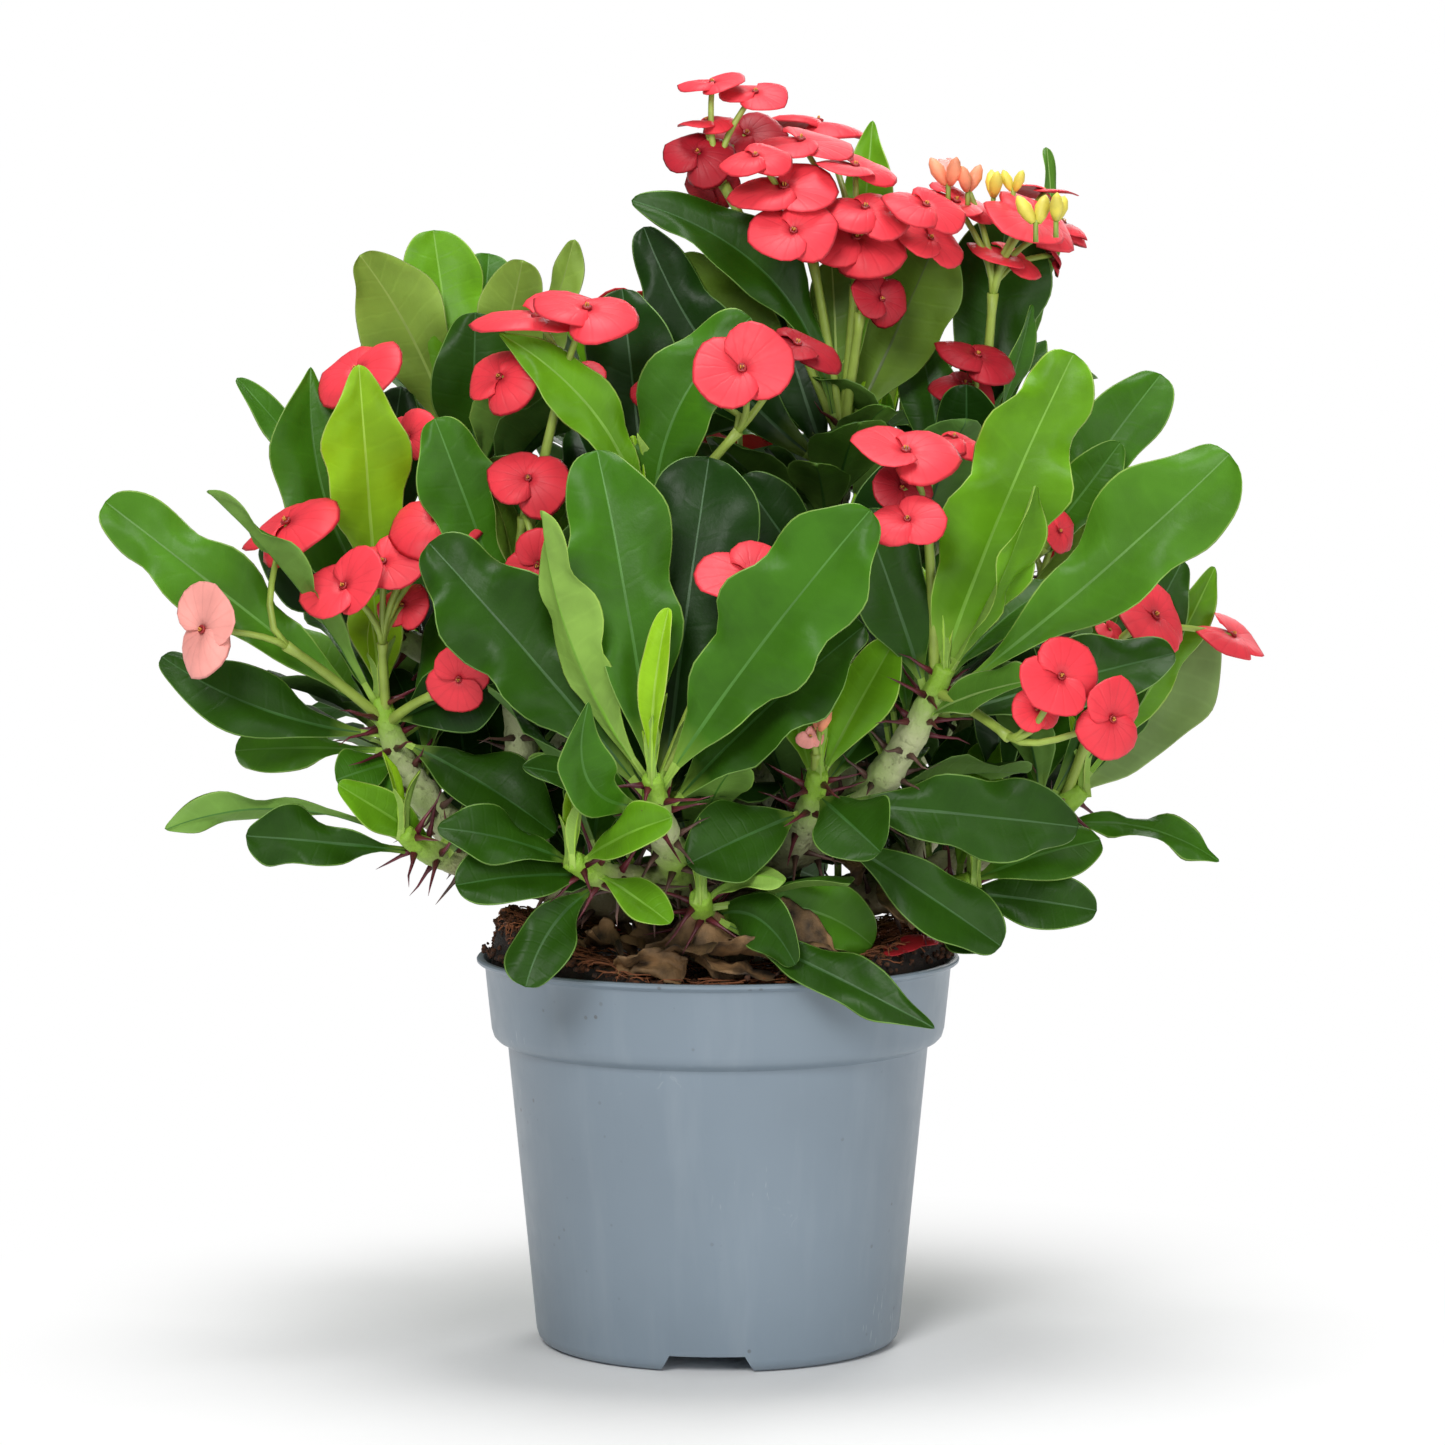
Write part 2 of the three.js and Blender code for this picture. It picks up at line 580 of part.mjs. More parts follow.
// Grow a piece where it is clear of the other nodes, trying each nudge in turn. It keeps
// clear of its own shoot's leaves too, unless that fails and it has to grow.
function growClear(name, nudges, mustGrow, pieceAt) {
  const node = `leaves_${name}`;
  const own = blades.filter((blade) => blade.node === node);
  for (const others of mustGrow ? [own, []] : [own]) {
    for (const nudge of nudges) {
      const [wide, blade] = pieceAt(nudge, TEST_GAP);
      if (!isClear(node, wide) || meets(others, blade)) continue;
      const [piece, ownBlade] = pieceAt(nudge, 0);
      seat(node, piece);
      seat(node, ownBlade, blades);
      masses[name].push(piece);
      return;
    }
  }
}

// A leaf and its blade. It starts inside the shoot's stem, the old ones lower than the young.
function leafPieces(name, age, tip, shape, extra) {
  const stem = stems[name];
  const t = 1 - mix(...LEAF_ZONE, age) / stem.length;
  const axis = stem.curve.getTangentAt(t);
  const middle = stem.curve.getPointAt(t);
  const out = tip.clone().sub(middle);
  out.addScaledVector(axis, -out.dot(axis)).normalize();
  const root = moved(middle, out, SHOOT.tipRadius / 2);
  const face = leafFace(root, tip, shape.towards, shape.tilt);
  const stations = shape.width < WIDE_LEAF.from ? NARROW_STATIONS : WIDE_LEAF.stations;
  const leaf = { root, tip, face, width: shape.width, bow: shape.bow };
  return [leafSolid({ ...leaf, stations }, extra), leafSolid({ ...leaf, stations: BLADE_STATIONS }, 0)];
}

function growPosedLeaf(name, [across, forward, up, width, tilt], age, seed) {
  const bow = LEAF.bow * (1 + LEAF.bowScatter * wobble(seed, width));
  growClear(name, DEPTH_NUDGES, true, (nudge, extra) => {
    const tip = reach(name, [across, forward + nudge, up]);
    return leafPieces(name, age, tip, { towards: VIEWER, tilt, width, bow }, extra);
  });
}

// A flower stalk, with its blooms forking off near its end one below the other.
function growHead(name, { fork, blooms }) {
  const root = belowTip(name, FLOWER_ZONE);
  const end = reach(name, fork);
  growClear(name, [0], true, (_, extra) => {
    const stalk = stalkSolid(root, end, extra);
    return [stalk, stalk];
  });
  for (const [across, forward, up, width, pitch] of blooms) {
    growClear(name, DEPTH_NUDGES, true, (nudge, extra) => {
      const centre = reach(name, [across, forward + nudge, up]);
      const out = new THREE.Vector3(centre.x / 2, centre.y - BLOOM.behind, 0).normalize();
      const facing = moved(UP.clone().multiplyScalar(Math.cos(radians(pitch))), out, Math.sin(radians(pitch)));
      facing.addScaledVector(centre.clone().sub(end).normalize(), BLOOM.along).normalize();
      return bloomPieces(end, centre, facing, width, extra);
    });
  }
}

// Leaves round a shoot by the golden angle, the young ones short and upright. Where the
// front view shows posed leaves, the spiral fills the side away from the viewer.
function growSpiral(name, shoot, index) {
  for (let i = 0; i < shoot.spiral; i++) {
    const age = (i + 0.5) / shoot.spiral;
    const scatter = 1 + SPIRAL.lengthScatter * wobble(index, i);
    const length = LEAF.length * mix(...SPIRAL.lengths, age) * scatter;
    const lift = radians(mix(...SPIRAL.lifts, age) + SPIRAL.liftScatter * wobble(i, index));
    const start = belowTip(name, mix(...LEAF_ZONE, age));
    growClear(name, TURN_NUDGES, false, (nudge, extra) => {
      const bearing = radians(GOLDEN_ANGLE * i + SPIRAL.shootTurn * index + nudge);
      const out = new THREE.Vector3(Math.cos(bearing), Math.sin(bearing), 0);
      if (shoot.posed) out.y = Math.abs(out.y);
      const tip = moved(moved(start, out, length * Math.cos(lift)), UP, length * Math.sin(lift));
      const tilt = SPIRAL.twist * wobble(index + i, 3);
      const width = LEAF.widthShare * length;
      const shape = { towards: moved(UP, out, -SPIRAL.lean), tilt, width, bow: LEAF.bow };
      return leafPieces(name, age, tip, shape, extra);
    });
  }
}

const nodes = [];

function addNode(name, solid, material) {
  nodes.push({ name, solid, material });
  seat(name, solid);
}

addNode("pot", potSolid(), PLASTIC);
addNode("soil", soilSolid(), PEAT);
addNode("trunk", trunkSolid(0), BARK);
wideLimbs.push(trunkSolid(2 * GAP));

const shoots = Object.entries(SHOOTS);
for (const [name, shoot] of shoots) addNode(`bough_${name}`, boughSolid(name, shoot), BARK);
shoots.forEach(([name], index) => addThorns(name, index));
for (const [name] of shoots) {
  const stem = shootStem(name);
  masses[name] = [stem];
  seat(`leaves_${name}`, stem);
}
shoots.forEach(([name, { posed = [], heads = [] }], index) => {
  for (const head of heads) growHead(name, head);
  posed.forEach((leaf, i) => growPosedLeaf(name, leaf, (i + 0.5) / posed.length, index));
});
shoots.forEach(([name, shoot], index) => growSpiral(name, shoot, index));
for (const [name] of shoots) {
  nodes.push({ name: `leaves_${name}`, solid: largest(wasm.Manifold.union(masses[name])), material: FOLIAGE });
}

const group = new THREE.Group();
nodes.forEach(({ name, solid, material }, index) => {
  const own = new THREE.MeshStandardMaterial(material);
  own.color.offsetHSL(0, 0, SHADE_SCATTER * wobble(index, 1));
  const mesh = new THREE.Mesh(geometryFrom(solid), own);
  mesh.name = name;
  group.add(mesh);
});

export default group;
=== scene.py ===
"""A potted crown of thorns: spiny stems, broad leaves and red bracts in a grey nursery pot.

The making functions work in millimetres, +Z up, with the viewer on the -Y side. Meshes are in
metres. The plant grows here by the rule that its solids grew by, with finer leaves and twigs.
"""
import math

import bmesh
import bpy
import numpy as np
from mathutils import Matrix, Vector
from mathutils.bvhtree import BVHTree
from mathutils.noise import noise_vector, seed_set


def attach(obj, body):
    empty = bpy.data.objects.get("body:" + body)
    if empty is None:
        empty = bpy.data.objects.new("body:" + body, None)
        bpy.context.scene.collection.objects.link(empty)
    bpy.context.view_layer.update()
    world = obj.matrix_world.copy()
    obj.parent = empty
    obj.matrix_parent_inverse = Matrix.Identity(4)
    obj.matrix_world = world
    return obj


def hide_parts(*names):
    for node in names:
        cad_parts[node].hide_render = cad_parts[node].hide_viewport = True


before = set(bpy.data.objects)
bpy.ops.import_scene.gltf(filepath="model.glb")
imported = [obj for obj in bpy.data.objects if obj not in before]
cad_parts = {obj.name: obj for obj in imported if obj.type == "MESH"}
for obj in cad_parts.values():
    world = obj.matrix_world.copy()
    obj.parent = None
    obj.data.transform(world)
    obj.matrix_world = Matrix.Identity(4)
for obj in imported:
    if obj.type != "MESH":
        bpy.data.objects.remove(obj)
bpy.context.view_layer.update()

MM = 0.001
UP = np.array([0.0, 0.0, 1.0])
VIEWER = np.array([0.0, -1.0, 0.0])
GOLDEN_ANGLE = 137.5

# The pot's outside from its foot to its lip, as radius and height, and its inside face.
POT_OUTSIDE = [
    (60.5, 0.0), (62.2, 0.9), (63.5, 2.4), (64.2, 4.5), (69.1, 54.5), (74.0, 104.5),
    (74.3, 105.6), (75.6, 106.5), (77.6, 107.3), (79.0, 108.8), (79.8, 111.5), (81.0, 122.6),
    (82.0, 132.6), (82.6, 133.6), (84.2, 134.4), (84.9, 135.0), (85.0, 135.8), (84.6, 136.4),
    (83.6, 136.5),
]
POT_INSIDE = [
    (82.6, 136.3), (81.6, 134.9), (80.6, 133.0), (78.2, 111.5), (72.4, 105.5), (62.6, 8.5), (60.5, 7.5),
]

# Edges of the pot that turn more than "sharp" degrees are rounded, and under "smooth" shaded smooth.
POT = {"sides": 144, "round": 0.5, "sharp": 50, "smooth": 28}

# The channels that cut across the pot's foot ring from below.
CHANNEL = {
    "count": 3, "height": 5.7, "top_half": 13, "foot_half": 19, "inner": 22, "length": 75, "bearing": -93.4,
}

# The soil's flat middle, and the ring where it is heaped by the rim at the left and right. Its
# surface has lumps of each size and rise, which are calm this near its edge.
SOIL = {
    "floor": 7.8, "floor_radius": 60.2, "edge": 133, "edge_radius": 80.0, "middle": 133.5,
    "flat_radius": 32, "heap_radius": 75, "heap_left": 16.5, "heap_right": 14, "rim": 137.5,
    "rings": 48, "sides": 120,
}
LUMPS = [(4, 1), (1.7, 0.6)]
LUMPS_CALM = 4
SOIL_SIDES = [
    (SOIL["floor_radius"], SOIL["floor"]), (72.0, 104.5), (77.6, 111.5), (SOIL["edge_radius"], SOIL["edge"]),
]

# What lies on the soil: a share of it in a ring from a radius outwards, and a share on the heaps.
CRUMBS = {
    "loose": 1700, "ring": 60, "sizes": (0.6, 2.0), "uneven": (0.7, 1.25), "sides": 6,
    "heaped": 420, "heap": (72, 82.5), "small": (0.5, 1.4), "piled": 2.5,
}
CRUMB_PROFILE = [(0.5, -0.8), (1.0, -0.2), (0.9, 0.4), (0.4, 0.8)]
FIBRES = {
    "count": 1900, "ring": 62, "heap": (60, 79), "piled": 3, "lengths": (5, 14), "curl": 0.3,
    "above": 3.2, "steep": 4, "reach": 81, "radii": (0.34, 0.14), "points": 6, "sides": 4,
}

# The trunk, and the boughs that bend from level at their fork and end in a shoot each.
TRUNK = {"foot": (0, 8, 133.0), "top": (-4, 4, 174), "points": 14}
TRUNK_TAPER = [(0, 20), (0.12, 16), (0.35, 13.5), (0.8, 11.5), (1, 8)]
BOUGH = {"end_radius": 5.5, "bend": (0.7, 0.16), "knots": 2.6, "knot_rise": 0.05, "points": 26}
SHOOT = {"length": 30, "tip_radius": 3.6, "overlap": 2}

# Spines in pairs: their length, how far apart the pairs stand, and how far the first one stands
# from the fork beyond the skin of the stem that carries it.
SPINES = {"young": (15, 4), "old": (13, 6)}
SPINE = {
    "clear": 14, "radii": [1.5, 0.7, 0.4, 0.06], "sides": 6, "spread": 20, "sunk": 0.8, "shoot_turn": 50,
    "lean": 0.25, "aside": 0.35, "length_scatter": 0.25, "hook": 0.08,
}

# Leaves grow from this stretch of a shoot, as distances below its tip for the youngest and
# the oldest, and flower stalks from their own place.
LEAF_ZONE = (2, 25)
FLOWER_ZONE = 10
LEAF = {"length": 90, "width_share": 0.37, "stalk": 1.3, "bow": 0.06, "bow_scatter": 0.5}
POSED_STATIONS, SPIRAL_STATIONS, GAP_STATIONS = 30, 14, 16
SPIRAL = {
    "lengths": (0.55, 1), "lifts": (72, -8), "length_scatter": 0.1, "lift_scatter": 8, "twist": 20,
    "shoot_turn": 50, "lean": 0.5,
}
# The bud of small upright leaves at a shoot's tip: how each leaf differs from the one before.
TIP_LEAVES = {"count": 4, "length": (9, 6), "out": (2, 2.2), "width": (3, 1.2), "shoot_turn": 31}
TIP_LEAF_ROOT = {"below": 3, "out": 1.5}
TIP_LEAF_FORM = {
    "bow": 0.08, "stations": 8, "fold": 0.5, "wave": 0.2, "point": 0.85, "twist": 0, "belly": 1.3,
}

# What is tried in turn, in millimetres or degrees, until a form is clear of the others, and the
# share of a leaf's faces by its root that may meet others, on a shoot and on a bough.
DEPTH_NUDGES = (0, 8, -8, 16, -16, 24, -24)
TURN_NUDGES = (0, 12, -12, 24, -24, 36, -36)
INNER_NUDGES = (0, 20, -20, 45, -45, 75, -75)
SHOOT_ROOTS = 0.35
BOUGH_ROOTS = 0.3

# Leaves that still stand on a bough below its shoot.
INNER = {
    "first": 26, "spacing": 5, "length": 58, "length_scatter": 0.35, "lift": 42, "lift_scatter": 30,
    "middle": 20, "spread": 110, "width_share": 0.4, "lean": 0.5, "sunk": 0.7,
}
INNER_FORM = {"bow": 0.08, "stations": 12}
# these shades, mostly deep, are partly the old leaves' own green and partly painted shade for the shady
# inside
INNER_SHADES = ("dark", "deep", "deep", "mid")

# Leaves that show in the gaps between the shoots: the stem and the share along it that each
# grows from, the point [across, back, up] of its tip, its width, its tilt and its shade.
GAP_LEAVES = [
    ("left_up", 0.8, (-150, 14, 306), 24, 10, "dark"), ("left_up", 0.92, (-112, 20, 336), 24, -10, "deep"),
    ("mid_left", 0.75, (-74, 8, 318), 26, 10, "deep"), ("centre", 0.75, (-50, 10, 322), 24, 0, "deep"),
    ("crown", 0.7, (26, 10, 320), 24, -10, "deep"), ("right_low", 0.75, (100, -5, 272), 24, 0, "deep"),
    ("right_up", 0.75, (72, 34, 352), 22, 10, "dark"), ("left_low", 0.92, (-127, -44, 206), 17, 20, "mid"),
    ("crown", 0.93, (2, 8, 374), 24, 20, "deep"), ("right_mid", 0.85, (68, -60, 238), 19, -10, "dark"),
    ("far_right", 0.8, (160, 32, 270), 24, 20, "olive"), ("far_right", 0.5, (120, 40, 222), 26, 10, "deep"),
    ("back_low", 0.6, (-52, 98, 152), 26, 30, "dark"), ("back_low", 0.8, (-6, 112, 150), 20, -20, "deep"),
    ("back", 0.35, (38, 88, 154), 22, 10, "dark"), ("back_right", 0.55, (84, 74, 158), 26, 30, "deep"),
    ("back_left", 0.5, (-84, 66, 156), 20, -30, "dark"), ("right", 0.3, (62, 10, 160), 20, 20, "deep"),
    ("left", 0.35, (-60, 20, 160), 20, -20, "deep"),
]

# Blooms face up and outwards from a line behind the plant's middle.
BLOOM = {"behind": 60, "along": 0.3, "turn_scatter": 28, "bend": 0.35}
BLOOM_STALK = {"radii": (1.3, 1.0), "points": 7, "sides": 7}
HEAD = {"bend": 0.06, "from": 0.95, "radii": [(0, 2.0), (0.9, 1.6), (1, 2.1)], "points": 9, "sides": 8}

# The tiny flower between two bracts, as radii and heights for a bloom of the usual width, and
# the stamens in it, which start some way up from its centre and out.
FLOWER = {"width": 30, "sides": 10, "profile": [(0.8, -0.5), (1.2, 0.3), (1.5, 0.9), (1.1, 1.3), (0.6, 0.7)]}
STAMENS = {
    "count": 3, "scatter": 40, "up": 0.6, "out": 0.3, "lean": 0.2, "heights": (1.1, 1.5),
    "radii": [0.2, 0.28, 0.15], "sides": 5,
}

# Unopened blooms: their kind, the place [across, back, up] of each one's foot, and its height.
BUDS = [
    ("pale", 81, 16, 407, 11), ("pale", 88, 18, 405, 10), ("yellow", 97, 18, 403, 10),
    ("yellow", 104, 18, 405, 8), ("yellow", 110, -14, 393, 11), ("yellow", 117, -14, 394, 10),
    ("pale", 34, -79, 222, 9), ("yellow", -8, 104, 318, 8),
]
BUD = {"lean": 0.3, "turn": 50, "rise": 2.2, "apart": 0.08, "sides": 10}
BUD_PROFILE = [(0.1, 0), (0.2, 0.25), (0.25, 0.55), (0.16, 0.85), (0.03, 1.0)]
BUD_STALK = {"steps": (0.6, 0.3), "radii": [1.0, 0.9, 0.9], "sides": 6}


def leaf(across, forward, up, width, tilt, shade, slim=1, **form):
    """A leaf that the front view shows: how far its point reaches from its shoot's tip, and its tilt.

    It is grown with a share of its width, slim. Its form may hold any of the LEAF_HABITS.
    """
    point = (across, forward, up)
    return {"reach": point, "width": width, "tilt": tilt, "shade": shade, "slim": slim, "form": form}


def bloom(across, forward, up, width, pitch, shade=None, turn=None):
    """A bloom: its reach from its shoot's tip, its pitch, and its turn about the way it faces.

    It faces up at a pitch of 0 and outwards at 90.
    """
    return {"reach": (across, forward, up), "width": width, "pitch": pitch, "shade": shade, "turn": turn}


def head(fork, *blooms):
    """A flower stalk that forks at a reach from its shoot's tip, with its blooms."""
    return {"fork": fork, "blooms": blooms}


# Each shoot: the tip [across, back, up] that it reaches, the stem it forks from and how far
# along that, the radius at the foot of its bough, how many leaves grow by the spiral, and a
# bend of its own where its bough has one. Its posed leaves run from young to old.
SHOOTS = {
    "front": {
        "tip": (-22, -110, 209), "from": "trunk", "at": 0.62, "radius": 9, "spiral": 4,
        "posed": [
            leaf(6, 8, 56, 11, -30, "young", fold=0.5, wave=0.3),
            leaf(-35, 20, 88, 24, 150, "fresh", fold=0.35, twist=70, sweep=-0.1),
            leaf(71, 25, 89, 47, -15, "mid", slim=0.83, wave=1.4, sweep=-0.005),
            leaf(-18, -15, 107, 37, 10, "mid", wave=1.8),
            leaf(-20, 34, 27, 19, 10, "mid", belly=1.4, point=0.7, fold=0.3, sweep=-0.33),
            leaf(-74, -5, 76, 36, 15, "dark", wave=1.4),
            leaf(-42, 25, 4, 21, 50, "dark", point=0.7, wave=1.5),
            leaf(70, 5, 50, 36, -35, "dark"),
            leaf(19, -35, 104, 46, -5, "deep", wave=1.6),
        ],
        "heads": [
            head((24, -2, 46), bloom(33, 3, 67, 38, 46, "coral", 25)),
        ],
    },
    "front_low": {
        "tip": (-49, -95, 180), "from": "front", "at": 0.35, "radius": 6, "spiral": 1,
        "posed": [
            leaf(34, 32, 17, 17, -40, "fresh"),
            leaf(-44, 5, 11, 21, 45, "dark"),
            leaf(33, 12, -20, 15, -40, "fresh"),
            leaf(-38, 15, -8, 24, 40, "dark"),
            leaf(-15, 5, -42, 20, 12, "dark", slim=1.05, belly=2.2, point=0, wave=1.6, sweep=0.12),
        ],
    },
    "left": {
        "tip": (-117, -30, 230), "from": "trunk", "at": 0.5, "radius": 9, "spiral": 4, "bend": (0.85, 0.02),
        "posed": [
            leaf(-54, 20, 72, 22, 115, "mid", fold=0.3, wave=1.5, sweep=-0.01),
            leaf(-93, 5, 67, 29, 20, "clear", slim=0.91, belly=1.7, point=0, wave=1.6, sweep=-0.014),
            leaf(44, 18, 5, 28, -30, "deep"),
            leaf(-74, 8, 14, 31, 35, "dark", slim=0.8, point=0.1, wave=1.7, sweep=-0.105),
            leaf(61, 10, -46, 29, -35, "dark"),
            leaf(-52, -25, -21, 20, 30, "clear", belly=2.6),
            leaf(-14, 12, -28, 18, 20, "mid"),
        ],
        "heads": [
            head((-30, 25, 19), bloom(-57, 35, 25, 33, 80, "pale", 70), bloom(-31, 5, 60, 40, 52)),
            head(
                (2, 12, 19), bloom(-10, 25, 39, 32, 60), bloom(3, 20, 47, 32, 50), bloom(21, 8, 62, 36, 60),
                bloom(30, 5, 60, 30, 60, "rose"), bloom(9, 10, 32, 20, 80, "rose"),
            ),
            head((20, 20, 2), bloom(29, 30, 8, 25, 108, "rose", 65)),
        ],
    },
    "left_low": {
        "tip": (-108, -50, 185), "from": "left", "at": 0.5, "radius": 6.5, "spiral": 2,
        "posed": [
            leaf(-81, 0, 1, 18, 152, "mid", slim=0.8, belly=3.2, point=0.6, wave=1.8, twist=0, sweep=0.09),
            leaf(-52, 15, 0, 21, 15, "dark", belly=2.6, wave=2.8),
            leaf(-21, 12, 17, 15, 20, "fresh"),
        ],
    },
    "mid_left": {
        "tip": (-70, -40, 273), "from": "left", "at": 0.42, "radius": 7, "spiral": 5,
        "posed": [
            leaf(-7, 35, 29, 14, 60, "olive"),
            leaf(-26, 15, 53, 28, 10, "mid"),
        ],
        "heads": [
            head(
                (17, 12, 65), bloom(9, 14, 87, 45, 20, "coral", 32),
                bloom(26, 12, 90, 36, 22, "coral", -22), bloom(-4, 10, 67, 28, 55),
                bloom(22, 4, 68, 20, 60, "rose"),
            ),
            head((4, 18, 20), bloom(6, 25, 33, 28, 70), bloom(9, 25, 4, 25, 95, "rose", 60)),
        ],
    },
    "left_back": {"tip": (-124, 62, 220), "from": "left", "at": 0.5, "radius": 7, "spiral": 8},
    "centre": {
        "tip": (-23, -45, 294), "from": "trunk", "at": 1, "radius": 8.5, "spiral": 5,
        "posed": [
            leaf(-6, 3, 26, 5, 0, "young"),
            leaf(-51, 12, 61, 26, 20, "fresh", slim=0.78, point=0.8, sweep=0.1),
            leaf(34, 5, 66, 30, -20, "mid", fold=0.2, sweep=-0.12),
            leaf(-10, -28, 76, 32, 0, "deep"),
        ],
        "heads": [
            head(
                (30, 14, 28), bloom(31, 22, 49, 35, 76, "coral", 20), bloom(50, 8, 57, 34, 36, "deep", 12),
                bloom(2, -4, 42, 20, 60, "deep"),
            ),
        ],
    },
    "centre_bottom": {
        "tip": (-6, -78, 166), "from": "trunk", "at": 0.3, "radius": 6, "spiral": 0,
        "posed": [
            leaf(28, 12, 6, 13, 120, "fresh", sweep=-0.2),
            leaf(59, -35, -21, 22, -10, "clear", point=0, sweep=-0.12),
            leaf(78, 22, -42, 18, -20, "dark", point=0.7, wave=1.5),
            leaf(32, 10, -22, 17, 10, "dark", slim=1.2, sweep=-0.3),
        ],
    },
    "crown": {
        "tip": (45, 15, 326), "from": "trunk", "at": 1, "radius": 9, "spiral": 4,
        "posed": [
            leaf(10, -28, 104, 20, 0, "fresh", point=0.7),
            leaf(32, 12, 62, 34, 175, "shaded"),
            leaf(-5, 0, 54, 20, 10, "olive"),
            leaf(-75, 10, 75, 36, 30, "dark", slim=0.76, belly=2.2, point=0.6, fold=0.35, wave=1.6,
                 sweep=0.15),
            leaf(-60, 2, 55, 28, 170, "shaded"),
            leaf(-71, -8, 66, 26, 0, "deep", belly=1.35, sweep=-0.08),
            leaf(-28, -5, 48, 24, 0, "deep"),
        ],
        "heads": [
            head(
                (-43, 8, 81), bloom(-47, 8, 116, 24, 22), bloom(-32, 6, 113, 25, 40, "coral", -50),
                bloom(-49, 6, 103, 21, 14, "rose"), bloom(-52, 10, 92, 26, 60, "deep"),
                bloom(-47, 4, 80, 20, 100, "deep"), bloom(-35, -8, 99, 30, 60, "deep"),
            ),
            head(
                (3, 10, 46), bloom(-16, 8, 96, 37, 26), bloom(3, 12, 87, 31, 26),
                bloom(-9, -15, 104, 36, 12, "rose"), bloom(6, 25, 72, 34, 30), bloom(27, 18, 73, 31, 34),
                bloom(3, 20, 62, 36, 52), bloom(29, 12, 62, 28, 50),
            ),
            head(
                (-12, 12, 55), bloom(-32, 5, 90, 26, 30), bloom(-22, 18, 79, 38, 30),
                bloom(-19, 22, 64, 31, 50),
            ),
            head((5, 12, 36), bloom(12, 18, 41, 22, 85, "deep")),
        ],
    },
    "top_left": {
        "tip": (-93, 20, 322), "from": "trunk", "at": 0.9, "radius": 8, "spiral": 4,
        "posed": [
            leaf(-8, -12, 69, 31, 5, "fresh"),
            leaf(-32, 10, 60, 34, 185, "olive", slim=0.87, belly=1.4, wave=1.9, sweep=0.05),
            leaf(11, -25, 61, 26, 10, "mid"),
            leaf(25, 0, 58, 25, 170, "olive"),
            leaf(42, -15, 66, 17, 140, "olive"),
            leaf(8, 15, 40, 30, 0, "dark"),
        ],
    },
    "left_up": {
        "tip": (-124, 0, 259), "from": "top_left", "at": 0.5, "radius": 7, "spiral": 4,
        "posed": [
            leaf(1, 28, 85, 30, 5, "young", point=0.6),
            leaf(-18, 12, 84, 34, 10, "mid", slim=0.98, belly=1.2, point=0.8, fold=0.25, sweep=-0.1),
            leaf(-45, -10, 80, 20, 50, "mid", slim=0.8, wave=0.8, twist=0, sweep=0.02),
            leaf(-36, 0, 22, 24, 0, "deep"),
        ],
        "heads": [
            head((4, 8, 50), bloom(-1, 15, 83, 36, 60, "coral", 0), bloom(16, 6, 60, 24, 85)),
        ],
    },
    "right": {
        "tip": (76, -85, 244), "from": "trunk", "at": 0.78, "radius": 9, "spiral": 4,
        "posed": [
            leaf(28, 28, 61, 17, 60, "fresh", fold=0.4, sweep=-0.02),
            leaf(2, 0, 27, 6, 0, "young"),
            leaf(42, 5, 104, 40, 5, "fresh", slim=0.88, belly=1.15, point=0, wave=1.8, sweep=-0.03),
            leaf(-28, 5, 52, 28, 10, "dark"),
            leaf(93, 15, 71, 41, -15, "clear", slim=0.9, belly=2.4, point=0, wave=1.6, sweep=0.025),
            leaf(27, 30, -3, 18, -50, "grey", fold=0.3),
            leaf(78, -18, 3, 25, -20, "dark"),
        ],
        "heads": [
            head(
                (-7, 10, 52), bloom(-14, 18, 72, 36, 34, "coral", 0), bloom(3, 5, 76, 26, 22),
                bloom(-15, 12, 60, 20, 80, "deep"), bloom(-14, 24, 50, 26, 32),
            ),
            head(
                (20, 24, -22), bloom(36, 40, -1, 30, 72, "rose", 40),
                bloom(53, 36, -15, 28, 95, "rose", 75), bloom(29, 32, -12, 18, 80),
            ),
        ],
    },
    "right_mid": {
        "tip": (34, -75, 208), "from": "right", "at": 0.2, "radius": 6, "spiral": 2,
        "posed": [
            leaf(25, 8, 44, 21, -20, "fresh"),
            leaf(20, 25, -25, 27, -10, "dark", wave=1.5),
            leaf(88, -10, -20, 28, -10, "dark", wave=1.4),
            leaf(-44, 15, -30, 28, 15, "dark"),
            leaf(62, -13, -61, 25, -20, "dark", belly=2.2, wave=1.2),
        ],
        "heads": [
            head((-1, 2, 6), bloom(-3, 4, 12, 10, 60, "pale")),
        ],
    },
    "mid_right": {
        "tip": (48, -35, 273), "from": "right", "at": 0.4, "radius": 7, "spiral": 6,
        "posed": [
            leaf(16, 12, 40, 26, 10, "deep"),
            leaf(-40, 10, 33, 26, 0, "deep"),
        ],
    },
    "right_low": {
        "tip": (127, -20, 197), "from": "trunk", "at": 0.45, "radius": 8.5, "spiral": 3,
        "posed": [
            leaf(47, -20, 76, 15, 30, "fresh"),
            leaf(45, -5, 56, 36, 180, "grey", slim=1.06, belly=1.45, sweep=0.015),
            leaf(20, -25, 45, 24, 10, "dark"),
            leaf(35, -18, 79, 24, 0, "dark", point=0.2),
            leaf(46.5, 8, -24.5, 20, -50, "mid", slim=0.7, point=0.4, wave=2.2, sweep=-0.09),
        ],
        "heads": [
            head(
                (9, 10, 48), bloom(23, 15, 61, 35, 62, "coral", 30),
                bloom(52, -5, 53, 29, 28, "coral", -12), bloom(8, 12, 56, 10, 60),
            ),
        ],
    },
    "right_bottom": {
        "tip": (88, -45, 168), "from": "right_low", "at": 0.3, "radius": 6, "spiral": 2,
        "posed": [
            leaf(44, -15, 12, 18, -30, "mid", slim=1.25),
            leaf(42, -2, -11, 20, -20, "dark"),
            leaf(7, 18, -22, 20, -25, "dark", slim=1.15),
        ],
    },
    "far_right": {
